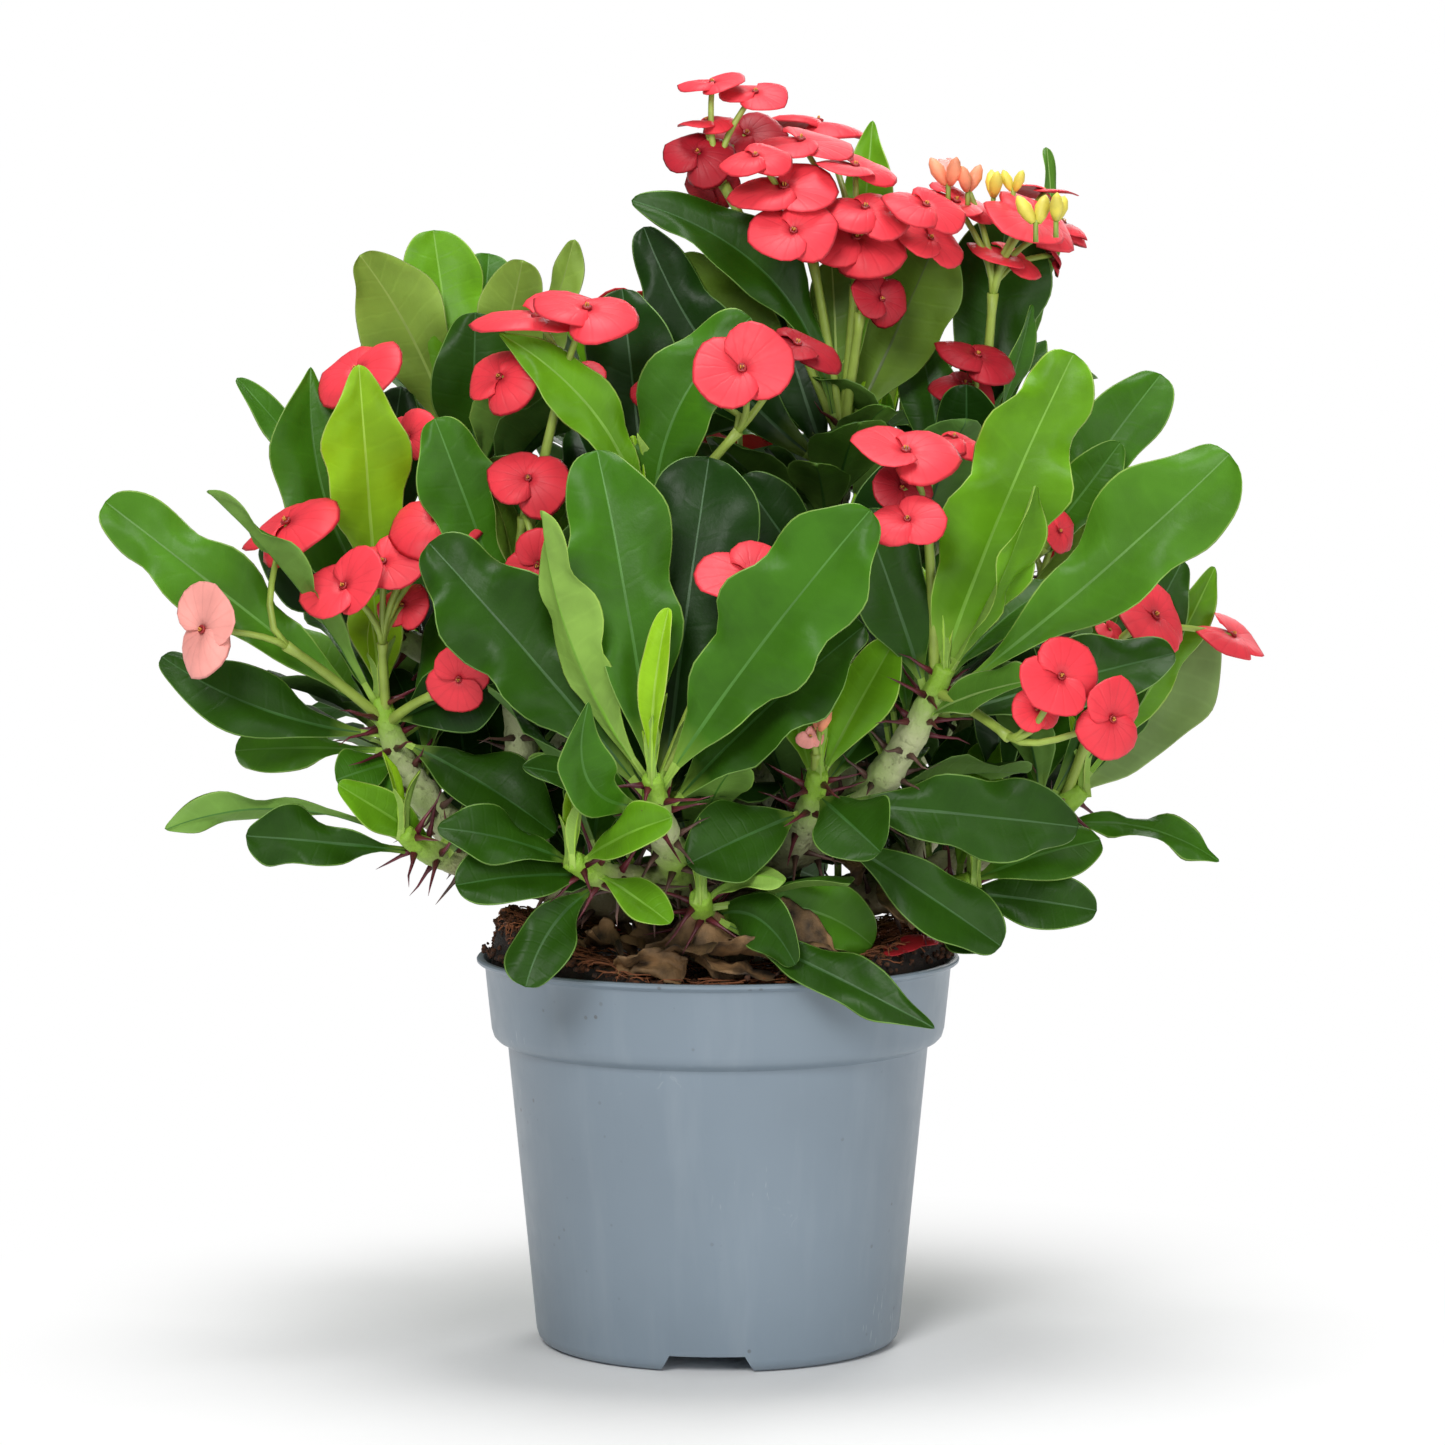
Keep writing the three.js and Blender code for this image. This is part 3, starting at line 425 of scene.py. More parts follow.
        "tip": (105, 45, 273), "from": "right_low", "at": 0.4, "radius": 7, "spiral": 5,
        "posed": [
            leaf(38, 15, 43, 20, 10, "mid"),
            leaf(54, -5, 67, 34, -5, "mid", slim=0.75, belly=2.4, point=0, sweep=-0.02),
            leaf(41, -10, 43, 12, 120, "olive"),
        ],
        "heads": [
            head((12, 14, 6), bloom(16, 22, 12, 20, 80, "rose")),
        ],
    },
    "right_up": {
        "tip": (95, 30, 319), "from": "crown", "at": 0.4, "radius": 7.5, "spiral": 4,
        "posed": [
            leaf(24, -20, 103, 8, 60, "grey", slim=1.3, belly=2.6, wave=1.5, twist=50),
            leaf(16, 5, 46, 12, 60, "mid"),
            leaf(8, -15, 76, 36, 5, "dark", belly=2.3),
            leaf(-8, 20, 18, 24, 0, "deep"),
        ],
        "heads": [
            head(
                (2, 12, 50), bloom(-11, 8, 82, 34, 40), bloom(15, 20, 76, 40, 38, "coral", 14),
                bloom(28, 5, 75, 27, 20), bloom(25, -10, 64, 17, 60, "deep"),
                bloom(7, 10, 63, 30, 36, "rose", -25), bloom(21, -8, 86, 26, 5),
                bloom(-9, -4, 94, 18, 60, "pale"),
            ),
            head((-4, 12, 16), bloom(-4, 15, 28, 30, 30, "deep", -30), bloom(-8, 14, 18, 26, 40, "deep")),
        ],
    },
    "back": {
        "tip": (4, 128, 256), "from": "trunk", "at": 0.58, "radius": 9, "spiral": 12,
        "heads": [
            head(
                (4, -20, 40), bloom(-8, -24, 58, 30, 50), bloom(16, -28, 54, 30, 70),
                bloom(4, -12, 66, 28, 20),
            ),
        ],
    },
    "back_low": {"tip": (-28, 118, 188), "from": "back", "at": 0.45, "radius": 6.5, "spiral": 8},
    "back_left": {
        "tip": (-102, 104, 212), "from": "back", "at": 0.32, "radius": 7.5, "spiral": 10,
        "heads": [
            head((-20, -14, 34), bloom(-34, -18, 46, 30, 60), bloom(-14, -24, 50, 28, 60)),
        ],
    },
    "back_right": {
        "tip": (104, 98, 226), "from": "back", "at": 0.4, "radius": 7.5, "spiral": 10,
        "heads": [
            head(
                (16, -16, 38), bloom(28, -22, 50, 30, 60), bloom(8, -26, 54, 30, 60),
                bloom(22, -10, 62, 26, 20),
            ),
        ],
    },
    "back_top": {
        "tip": (-38, 82, 320), "from": "top_left", "at": 0.42, "radius": 7.5, "spiral": 9,
        "heads": [
            head((-6, -8, 24), bloom(-18, -12, 38, 30, 50), bloom(6, -14, 42, 32, 50)),
        ],
    },
    "back_crown": {
        "tip": (62, 88, 314), "from": "crown", "at": 0.34, "radius": 7.5, "spiral": 9,
        "heads": [
            head((6, -8, 44), bloom(-4, -12, 60, 30, 50), bloom(18, -14, 56, 28, 60)),
        ],
    },
}
# Colours as seen in daylight, 0 to 255: a leaf's upper side, underside, margin and midrib. The deep and
# shaded ones also carry painted shade.
LEAF_SHADES = {
    "young": ((134, 180, 26), (140, 176, 78), (170, 196, 86), (152, 192, 62)),
    "fresh": ((92, 144, 20), (124, 160, 68), (148, 184, 74), (112, 162, 42)),
    "clear": ((69, 118, 24), (110, 146, 63), (128, 165, 69), (82, 132, 38)),
    "mid": ((56, 104, 16), (104, 142, 60), (122, 160, 66), (68, 120, 34)),
    "dark": ((36, 72, 8), (88, 124, 50), (104, 142, 58), (44, 88, 25)),
    # deep is partly old leaves' own dark green and partly painted shade, for leaves inside and behind the
    # plant
    "deep": ((22, 52, 7), (76, 112, 48), (96, 134, 58), (38, 80, 28)),
    # painted shade: a darker copy of an olive leaf's colours, for leaves that are seen from below in shade
    "shaded": ((58, 84, 8), (84, 112, 30), (98, 132, 40), (70, 92, 16)),
    "olive": ((92, 124, 38), (120, 147, 56), (140, 162, 78), (134, 158, 70)),
    "grey": ((78, 122, 38), (116, 144, 80), (146, 172, 98), (126, 158, 84)),
}
SPIRAL_SHADES = ("young", "fresh", "mid", "dark", "dark", "deep")

# A bract's upper side and underside.
BRACT_SHADES = {
    "coral": ((233, 61, 73), (203, 45, 55)),
    "rose": ((228, 56, 68), (190, 42, 50)),
    # deep is partly the bracts' own darker red and partly painted shade, for blooms that stand in shade
    "deep": ((172, 30, 44), (144, 26, 38)),
    "pale": ((244, 160, 150), (226, 130, 118)),
}
COLOURS = {
    "leaf_stalk": (152, 186, 78), "flower_stalk": (146, 168, 70), "flower_centre": (150, 30, 34),
    "pollen": (206, 150, 62), "bud_pale": (238, 150, 112), "bud_yellow": (222, 208, 84),
    "spine_young": (92, 28, 40), "spine_old": (88, 62, 54), "stem_foot": (122, 106, 78),
    "stem": (172, 180, 132), "stem_tip": (138, 182, 50), "stem_fleck": (186, 182, 156),
    "stem_scar": (74, 58, 40), "pot": (122, 136, 148), "pot_streak": (166, 176, 184),
    # the peat's two colours are darkened as painted shade, because the soil lies in the plant's shadow
    "pot_mark": (200, 208, 212), "pot_speck": (74, 66, 58), "peat_dark_shaded": (12, 8, 5),
    "peat_light_shaded": (46, 29, 18), "crumb_dark": (42, 26, 16), "crumb_light": (128, 78, 48),
    "coir": (134, 80, 48), "dried_leaf": (108, 82, 52), "petal_top": (176, 34, 44),
    "petal_under": (150, 30, 38),
}


def unit(v):
    return v / np.linalg.norm(v)


def mix(a, b, t):
    return a + (b - a) * t


def wobble(a, b):
    """A repeatable number from -1 to 1 for two numbers."""
    s = math.sin(a * 12.9898 + b * 78.233) * 43758.5453
    return 2 * (s - math.floor(s)) - 1


def turned_about(v, axis, degrees):
    """A direction turned about an axis."""
    a = math.radians(degrees)
    return v * math.cos(a) + np.cross(axis, v) * math.sin(a) + axis * np.dot(axis, v) * (1 - math.cos(a))


def square_to(v, axis):
    return unit(v - axis * np.dot(v, axis))


def side_of(axis):
    """A direction square to an axis, level unless the axis is upright."""
    return unit(np.cross(UP if abs(axis[2]) < 0.95 else VIEWER, axis))


def level(turn):
    """The level direction at a turn in radians from +X."""
    return np.array([math.cos(turn), math.sin(turn), 0])


def linear(colour):
    """A colour as seen, 0 to 255, as the linear colour that a shader takes."""
    return tuple(((c / 255 + 0.055) / 1.055) ** 2.4 if c > 10 else c / 3294 for c in colour) + (1.0,)


class Route:
    """A quadratic curve that is read by share of its length."""

    def __init__(self, start, bend, end):
        t = np.linspace(0, 1, 201)[:, None]
        self.curve = (1 - t) ** 2 * start + 2 * t * (1 - t) * bend + t**2 * end
        steps = np.linalg.norm(np.diff(self.curve, axis=0), axis=1)
        self.along = np.concatenate([[0], np.cumsum(steps)])
        self.length = self.along[-1]

    def at(self, share):
        way = np.clip(share, 0, 1) * self.length
        return np.array([np.interp(way, self.along, self.curve[:, i]) for i in range(3)])

    def points(self, count):
        return [self.at(share) for share in np.linspace(0, 1, count)]

    def heading(self, share):
        return unit(self.at(share + 0.01) - self.at(share - 0.01))


class Heap:
    """The points, faces, finishes and pattern places of many small forms that become one mesh."""

    def __init__(self):
        self.points, self.places, self.faces, self.finishes = [], [], [], []
        self.count = 0

    def add(self, form, finish=None):
        points, faces, finishes, places = form
        self.points.append(points)
        self.places.append(places)
        self.faces += [tuple(i + self.count for i in face) for face in faces]
        self.finishes += list(finishes) if finish is None else [finish] * len(faces)
        self.count += len(points)


# Growing: every form in its place, so that later ones can keep clear of it.
seated = []


def bounds_of(points):
    return points.min(0), points.max(0)


def seat(points, faces):
    low, high = bounds_of(points)
    seated.append((low, high, BVHTree.FromPolygons(points.tolist(), faces)))


def clashes(points, faces):
    """How many pairs of faces meet between a new form and those in place."""
    low, high = bounds_of(points)
    tree = None
    total = 0
    for other_low, other_high, other in seated:
        if (other_low > high).any() or (other_high < low).any():
            continue
        tree = tree or BVHTree.FromPolygons(points.tolist(), faces)
        total += len(tree.overlap(other))
    return total


def grow(nudges, form_at, roots=0.0, must_grow=True):
    """The form at the first nudge where it is clear, or at the best one if it must grow.

    The share of its faces at its roots isn't tested, because forms of one shoot meet at its stem.
    """
    best = None
    for nudge in nudges:
        form = form_at(nudge)
        points, faces = form[0], form[1]
        tested = faces[int(roots * len(faces)):]
        met = clashes(points, tested)
        if best is None or met < best[0]:
            best = (met, form, tested)
        if met == 0:
            break
    if best[0] and not must_grow:
        return None
    seat(best[1][0], best[2])
    return best[1]


def ring(centre, side, axis, radius, sides):
    """Points round a centre, square to an axis, from the side given."""
    across = np.cross(axis, side)
    turns = [2 * math.pi * i / sides for i in range(sides)]
    return [centre + radius * (side * math.cos(turn) + across * math.sin(turn)) for turn in turns]


def ring_faces(rings, count):
    """Faces between neighbouring rings of equal counts."""
    faces = []
    for a in range(0, (rings - 1) * count, count):
        for j in range(count):
            k = (j + 1) % count
            faces.append((a + j, a + k, a + count + k, a + count + j))
    return faces


def plain_form(points, faces):
    """A form with one finish, whose pattern doesn't follow its surface."""
    return np.array(points), faces, [0] * len(faces), np.zeros((len(points), 2))


def tube(centres, radii, sides):
    """A closed round tube along points, with a fan at each end."""
    centres = np.asarray(centres, float)
    headings = np.gradient(centres, axis=0)
    side = side_of(unit(headings[0]))
    points = []
    for centre, heading, radius in zip(centres, headings, radii):
        axis = unit(heading)
        side = square_to(side, axis)
        points += ring(centre, side, axis, radius, sides)
    start, end = len(points), len(points) + 1
    last = start - sides
    faces = ring_faces(len(centres), sides)
    faces += [(start, (j + 1) % sides, j) for j in range(sides)]
    faces += [(end, last + j, last + (j + 1) % sides) for j in range(sides)]
    return plain_form(points + [centres[0], centres[-1]], faces)


def turned_cup(centre, axis, profile, sides):
    """A small round form about an axis from a profile of radii and heights, with flat ends."""
    side = side_of(axis)
    points = []
    for radius, height in profile:
        points += ring(centre + axis * height, side, axis, radius, sides)
    last = len(points) - sides
    ends = [tuple(reversed(range(sides))), tuple(range(last, last + sides))]
    return plain_form(points, ring_faces(len(profile), sides) + ends)


def resized(profile, size):
    return [(radius * size, height * size) for radius, height in profile]


# Leaves. A ring of points runs over a leaf's top from margin to margin and back below it.
UPPER, UNDER, MARGIN, RIB, STALK = range(5)
TOP_FINISHES = (MARGIN, UPPER, UPPER, UPPER, RIB, UPPER, UPPER, UPPER, MARGIN)
STRIPS = TOP_FINISHES + (MARGIN, UNDER, UNDER, UNDER, RIB, UNDER, UNDER, UNDER, MARGIN)

# A leaf's habits: the usual value of each, how far its seed moves that, and which wobble does.
# twist is in degrees from foot to tip, sweep bends the leaf sideways, belly moves its widest
# part towards the tip, point sharpens it, and fold raises its halves. Its margins wave by wave
# and swing, in as many beats on a leaf of the usual length, from start, one margin by lag later.
LEAF_HABITS = {
    "sweep": (0, 0, 0), "twist": (0, 16, 5), "belly": (1.7, 0, 0), "point": (0.15, 0, 0),
    "fold": (0.12, 0.08, 2), "wave": (1, 0.3, 8), "beats": (2.4, 0.7, 4), "swing": (1, 0.4, 3),
    "lag": (2.2, 1, 7), "start": (0, 3, 6),
}

# Across a leaf: its margin and rib as widths, with the greatest shares that they take of half
# the leaf, how thick its skin is in the middle and at the margin, and the rib's relief. Along
# it, as shares: where its stalk ends, where it isn't twisted and where its point starts.
BLADE = {
    "margin": 0.45, "margin_share": 0.08, "rib": (0.75, 0.2), "rib_share": 0.14, "least_half": 0.4,
    "skin": 0.3, "thin": 0.08, "groove": 0.22, "keel": (1.2, 0.2), "point_from": 0.72, "tip": 0.3,
    "stalk_share": 0.06, "crowding": 1.6, "twist_from": 0.4,
}


def leaf_outline(t, belly):
    """Half width as a share of the widest, which lies nearer the tip for a greater belly."""
    return np.sin(np.pi * t**belly) ** (0.95 - 0.6 * t)


def blade_halves(t, width, habit):
    """Half the leaf's width at each station, no thinner than its stalk until its point."""
    half = np.maximum(LEAF["stalk"], width / 2 * leaf_outline(t, habit["belly"]))
    to_point = np.clip((t - BLADE["point_from"]) / (1 - BLADE["point_from"]), 0, 1)
    return np.maximum(BLADE["least_half"], half * (1 - habit["point"] * to_point**1.5))[:, None]


def leaf_faces(stations):
    """Triangles between the rings, cut the same way above and below so that the two never cross."""
    count = len(STRIPS)
    faces = []
    for a in range(0, (stations - 1) * count, count):
        b = a + count
        for j in range(count):
            k = (j + 1) % count
            if j < len(TOP_FINISHES):
                faces += [(a + j, a + k, b + k), (a + j, b + k, b + j)]
            else:
                faces += [(a + j, a + k, b + j), (a + k, b + k, b + j)]
    return faces


def leaf_frame(root, tip, towards, tilt, bow, sweep, t):
    """Points along a leaf's middle, the ways along it, across it and out of its face, and its length."""
    run = tip - root
    length = np.linalg.norm(run)
    heading = run / length
    face = turned_about(square_to(towards, heading), heading, tilt)
    middle = (root + tip) / 2 + (face * bow + np.cross(heading, VIEWER) * sweep) * 2 * length
    c = t[:, None]
    centre = (1 - c) ** 2 * root + 2 * c * (1 - c) * middle + c**2 * tip
    along = (1 - c) * (middle - root) + c * (tip - middle)
    along /= np.linalg.norm(along, axis=1, keepdims=True)
    side = np.cross(along, face)
    side /= np.linalg.norm(side, axis=1, keepdims=True)
    return centre, along, side, np.cross(side, along), length


def ring_shares(half, t):
    """Where each ring's points lie across the leaf, as shares of its half width, -1 to 1."""
    one = np.ones_like(half)
    edge = 1 - np.minimum(BLADE["margin_share"], BLADE["margin"] / half)
    rib = np.minimum(BLADE["rib_share"], mix(*BLADE["rib"], t)[:, None] / half)
    right = [rib, mix(rib, edge, 0.33), mix(rib, edge, 0.66), edge, one]
    top = [-column for column in reversed(right)] + right
    low = right[3::-1] + [-column for column in right[:4]]
    return np.hstack(top + low), len(top)


# How far a leaf's margin runs in and out, how far its halves bulge, and how far they buckle.
RIPPLE, BULGE, BUCKLE = 0.06, 0.09, 0.3


def waves(t, half, shares, width, length, habit):
    """Where points lie across a leaf with rippled margins, and how far they are lifted from flat."""
    out = np.abs(shares)
    grown = np.clip(4 * t - 0.6, 0, 1)[:, None]
    beats = habit["beats"] * length / LEAF["length"]
    beat = 2 * np.pi * beats * t[:, None] + np.where(shares > 0, habit["lag"], 0) + habit["start"]
    ripple = np.sin(beat + 1.2) + 0.15 * np.sin(2.3 * beat)
    across = shares * half * (1 + RIPPLE * (0.6 + habit["wave"]) * ripple * grown)
    swing = habit["wave"] * (0.8 + 0.06 * width) * habit["swing"] * np.minimum(1, half / (0.3 * width + 1))
    lift = habit["fold"] * np.abs(across) + BULGE * half * np.sin(np.pi * out)
    lift = lift + swing * out**2.5 * (np.sin(beat) + 0.2 * np.sin(2.1 * beat + 1)) * grown
    return across, lift + BUCKLE * out * (1 - out) * 4 * np.sin(2.3 * beat + 5 * out)


def add_skin(lift, t, half, shares, top):
    """Part a leaf's top from its underside, with a groove along the rib above and a keel below."""
    skin = np.maximum(BLADE["thin"], BLADE["skin"] * (1 - shares**2))
    lift[:, :top] += skin[:, :top]
    lift[:, 4:6] -= BLADE["groove"] * np.minimum(1, half / 5)
    lift[:, top:] -= skin[:, top:]
    lift[:, top + 3:top + 5] -= mix(*BLADE["keel"], t)[:, None]


def leaf_form(root, tip, towards, width, seed, tilt=0, bow=LEAF["bow"],
              stations=SPIRAL_STATIONS, **own):
    """One leaf as a closed thin form: folded at its midrib, bowed, and wavy at its margins."""
    habit = {key: own.get(key, usual + stray * wobble(seed, channel))
             for key, (usual, stray, channel) in LEAF_HABITS.items()}
    t = 1 - (1 - np.linspace(0, 1, stations + 1)[:-1]) ** BLADE["crowding"]
    centre, along, flat_side, flat_normal, length = leaf_frame(
        root, tip, towards, tilt, bow, habit["sweep"], t
    )
    twist = np.radians(habit["twist"] * (t - BLADE["twist_from"]))[:, None]
    side = flat_side * np.cos(twist) + flat_normal * np.sin(twist)
    normal = flat_normal * np.cos(twist) - flat_side * np.sin(twist)
    half = blade_halves(t, width, habit)
    shares, top = ring_shares(half, t)
    across, lift = waves(t, half, shares, width, length, habit)
    add_skin(lift, t, half, shares, top)
    points = centre[:, None] + across[..., None] * side[:, None] + lift[..., None] * normal[:, None]
    end_point = tip + along[-1] * BLADE["tip"] + normal[-1] * np.mean(lift[-1])
    points = np.vstack([points.reshape(-1, 3), end_point])

    count = len(STRIPS)
    end = len(points) - 1
    last = end - count
    faces = leaf_faces(stations) + [(last + j, last + (j + 1) % count, end) for j in range(count)]
    faces.append(tuple(reversed(range(count))))
    in_stalk = t[:-1] < BLADE["stalk_share"]
    finishes = [STALK if stalk else strip for stalk in in_stalk for strip in STRIPS for _ in range(2)]
    finishes += list(STRIPS) + [STALK]
    places = np.stack([0.5 + 0.5 * shares, t[:, None] * np.ones_like(shares)], -1)
    return points, faces, finishes, np.vstack([places.reshape(-1, 2), [0.5, 1.0]])


# Bracts. The shares of a bract's reach where its rings lie, how far round it spreads in
# degrees, where its outline draws in again beside the notch, and how thick it is.
BRACT_RINGS = (0.08, 0.3, 0.55, 0.8, 0.94, 1.0)
BRACT = {"spread": 116, "spokes": 17, "lobe_from": 58, "crease": 24, "thickness": 0.4}
BRACT_TOP, BRACT_UNDER = 0, 1


def bract_outline(turns, seed):
    """A bract's reach at each turn as a share: a kidney shape with a small point in its middle."""
    a = np.radians(turns)
    lobe = np.clip((np.abs(turns) - BRACT["lobe_from"]) / (BRACT["spread"] - BRACT["lobe_from"]), 0, 1)
    outline = (1 - 0.1 * np.sin(a) ** 2) * (1 - 0.5 * lobe**1.5) * (1 + 0.035 * np.sin(3 * a + seed))
    outline[len(turns) // 2] *= 1.035
    return outline


def bract_rise(turns, shares, seed):
    """How far a bract's points rise as shares of its reach: cupped, creased and turned down at the rim."""
    a = np.radians(turns)
    crease = np.clip(1 - np.abs(turns) / BRACT["crease"], 0, 1)
    cup = 0.14 + 0.07 * wobble(seed, 1)
    droop = 0.26 + 0.16 * wobble(seed, 3)
    rise = cup * shares - droop * shares**3.5 * (1 - 0.3 * crease) - 0.05 * crease * shares
    rise = rise + 0.16 * wobble(seed, 4) * shares * np.cos(a)
    return rise + 0.09 * shares * np.sin(a) + 0.035 * shares**2 * np.sin(4 * a + 3 * wobble(seed, 2))


def bract_faces(rings, count):
    """A bract's faces and finishes: above, below, and along the two straight edges and the heart.

    The points below follow those above, without the rim's ring, which both share.
    """
    below = rings * count
    faces, finishes = [], []
    for a in range(0, (rings - 1) * count, count):
        b = a + count
        under_a = below + a
        under_b = below + b if b < below - count else b
        for j in range(count - 1):
            faces.append((a + j, b + j, b + j + 1, a + j + 1))
            faces.append((under_a + j, under_a + j + 1, under_b + j + 1, under_b + j))
            finishes += [BRACT_TOP, BRACT_UNDER]
        for j, turned in ((0, 1), (count - 1, -1)):
            edge = (a + j, under_a + j, under_b + j, b + j) if under_b != b else (a + j, under_a + j, b + j)
            faces.append(edge[::turned])
            finishes.append(BRACT_TOP)
    faces.append(tuple(range(count)) + tuple(below + j for j in reversed(range(count))))
    return faces, finishes + [BRACT_UNDER]


def bract_form(centre, facing, heading, radius, seed):
    """One kidney-shaped bract: a shallow cup with a creased middle and a rim that turns down.

    One side of it is raised and the other lowered, so that a pair overlaps like a pinwheel.
    """
    across = np.cross(facing, heading)
    turns = np.linspace(-BRACT["spread"], BRACT["spread"], BRACT["spokes"])
    a = np.radians(turns)
    shares = np.array(BRACT_RINGS)[:, None]
    ways = np.cos(a)[:, None] * heading + np.sin(a)[:, None] * across
    place = (shares * bract_outline(turns, seed))[..., None] * ways
    top = centre + radius * (place + bract_rise(turns, shares, seed)[..., None] * facing)
    under = top[:-1] - facing * BRACT["thickness"]
    faces, finishes = bract_faces(len(BRACT_RINGS), len(turns))
    places = np.stack(np.broadcast_arrays(turns / (2 * BRACT["spread"]) + 0.5, shares), -1)
    places = np.vstack([places.reshape(-1, 2), places[:-1].reshape(-1, 2)])
    return np.vstack([top.reshape(-1, 3), under.reshape(-1, 3)]), faces, finishes, places


# The stems: routes of the trunk and boughs by the source's rule.
def straight_route(start, end):
    return Route(start, (start + end) / 2, end)


stems = {"trunk": straight_route(np.array(TRUNK["foot"], float), np.array(TRUNK["top"], float))}


def route_of(shoot):
    """The way from a fork to the shoot's tip, level at first and then rising."""
    start = stems[shoot["from"]].at(shoot["at"])
    tip = np.array(shoot["tip"], float)
    across, rise = shoot.get("bend", BOUGH["bend"])
    bend = mix(start, tip, across)
    bend[2] = mix(start[2], tip[2], rise)
    return Route(start, bend, tip)


for shoot_name, shoot in SHOOTS.items():
    stems[shoot_name] = route_of(shoot)


def radius_on(name, share):
    """A stem's radius at a share of its length."""
    if name == "trunk":
        return float(np.interp(share, *zip(*TRUNK_TAPER)))
    cut = 1 - SHOOT["length"] / stems[name].length
    if share < cut:
        return mix(SHOOTS[name]["radius"], BOUGH["end_radius"], share / cut)
    return mix(BOUGH["end_radius"], SHOOT["tip_radius"], (share - cut) / (1 - cut))


def below_tip(name, below):
    return stems[name].at(1 - below / stems[name].length)


def reach(name, across, forward, up):
    """A reach from a shoot's tip, as a point."""
    return np.array(SHOOTS[name]["tip"], float) + np.array([across, -forward, up])


leaf_heaps = {shade: Heap() for shade in LEAF_SHADES}
bract_heaps = {shade: Heap() for shade in BRACT_SHADES}
spine_heaps = {age: Heap() for age in SPINES}
bud_heaps = {"pale": Heap(), "yellow": Heap()}
stalks, centres, stamens = Heap(), Heap(), Heap()


def spine_pair(age, name, share, turn):
    """Two spines that spread from one place on a stem."""
    route = stems[name]
    axis = route.heading(share)
    side = side_of(axis)
    for half in (-1, 1):
        out = turned_about(side, axis, turn + SPINE["spread"] * half)
        root = route.at(share) + out * (radius_on(name, share) - SPINE["sunk"])
        forwards = axis * (SPINE["lean"] + SPINE["lean"] * wobble(share * 50, turn))
        lean = unit(out + forwards + np.cross(axis, out) * SPINE["aside"] * half)
        length = SPINES[age][0] * (1 + SPINE["length_scatter"] * wobble(turn, share * 90 + half))
        hook = axis * SPINE["hook"] * length * wobble(turn, half)
        points = [root, root + lean * 0.3 * length, root + lean * 0.7 * length + hook, root + lean * length]
        spine_heaps[age].add(tube(points, SPINE["radii"], SPINE["sides"]))


def grow_spines(name, shoot, index):
    """Pairs of spines by the golden angle: brown down the bough, and purple and closer near its tip."""
    length = stems[name].length
    turn = SPINE["shoot_turn"] * index
    way = SPINE["clear"] + radius_on(shoot["from"], shoot["at"])
    while way < length - 1:
        turn += GOLDEN_ANGLE
        age = "young" if way > length - SHOOT["length"] else "old"
        spine_pair(age, name, way / length, turn)
        way += SPINES[age][1]


def sunk_root(name, share, tip):
    """Where a leaf starts just inside a bough's skin, on the side of its tip."""
    middle = stems[name].at(share)
    side = square_to(tip - middle, stems[name].heading(share))
    return middle + side * radius_on(name, share) * INNER["sunk"]


def grow_if_clear(heap, nudges, form_at, roots):
    """Put a form in place and in its heap, unless it meets others at every nudge."""
    form = grow(nudges, form_at, roots, must_grow=False)
    if form:
        heap.add(form)


def leaf_at(name, age, tip, towards, width, seed, **form):
    """A leaf that starts inside its shoot's stem, the old ones lower than the young."""
    route = stems[name]
    share = 1 - mix(*LEAF_ZONE, age) / route.length
    middle = route.at(share)
    root = middle + square_to(tip - middle, route.heading(share)) * SHOOT["tip_radius"] / 2
    return leaf_form(root, tip, towards, width, seed, **form)


def grow_posed_leaf(name, row, age, index):
    """A leaf that the front view shows, at the depth where it is clearest."""
    across, forward, up = row["reach"]
    width, seed = row["width"], index + row["width"]
    bow = LEAF["bow"] * (1 + LEAF["bow_scatter"] * wobble(index, width))

    def form_at(nudge):
        tip = reach(name, across, forward + nudge, up)
        return leaf_at(name, age, tip, VIEWER, width * row["slim"], seed, tilt=row["tilt"], bow=bow,
                       stations=POSED_STATIONS, **row["form"])

    leaf_heaps[row["shade"]].add(grow(DEPTH_NUDGES, form_at, SHOOT_ROOTS))


def grow_spiral_leaf(name, shoot, index, i):
    """One leaf of a shoot's spiral. Where the front view's leaves are posed, it grows to the back."""
    age = (i + 0.5) / shoot["spiral"]
    grown = mix(*SPIRAL["lengths"], age) * (1 + SPIRAL["length_scatter"] * wobble(index, i))
    length = LEAF["length"] * grown
    lift = math.radians(mix(*SPIRAL["lifts"], age) + SPIRAL["lift_scatter"] * wobble(i, index))
    start = below_tip(name, mix(*LEAF_ZONE, age))

    def form_at(nudge):
        out = level(math.radians(GOLDEN_ANGLE * i + SPIRAL["shoot_turn"] * index + nudge))
        if "posed" in shoot:
            out[1] = abs(out[1])
        tip = start + out * length * math.cos(lift) + UP * length * math.sin(lift)
        return leaf_at(name, age, tip, UP - SPIRAL["lean"] * out, LEAF["width_share"] * length,
                       10 * index + i, tilt=SPIRAL["twist"] * wobble(index + i, 3))

    shade = SPIRAL_SHADES[int(age * len(SPIRAL_SHADES))]
    grow_if_clear(leaf_heaps[shade], TURN_NUDGES, form_at, SHOOT_ROOTS)


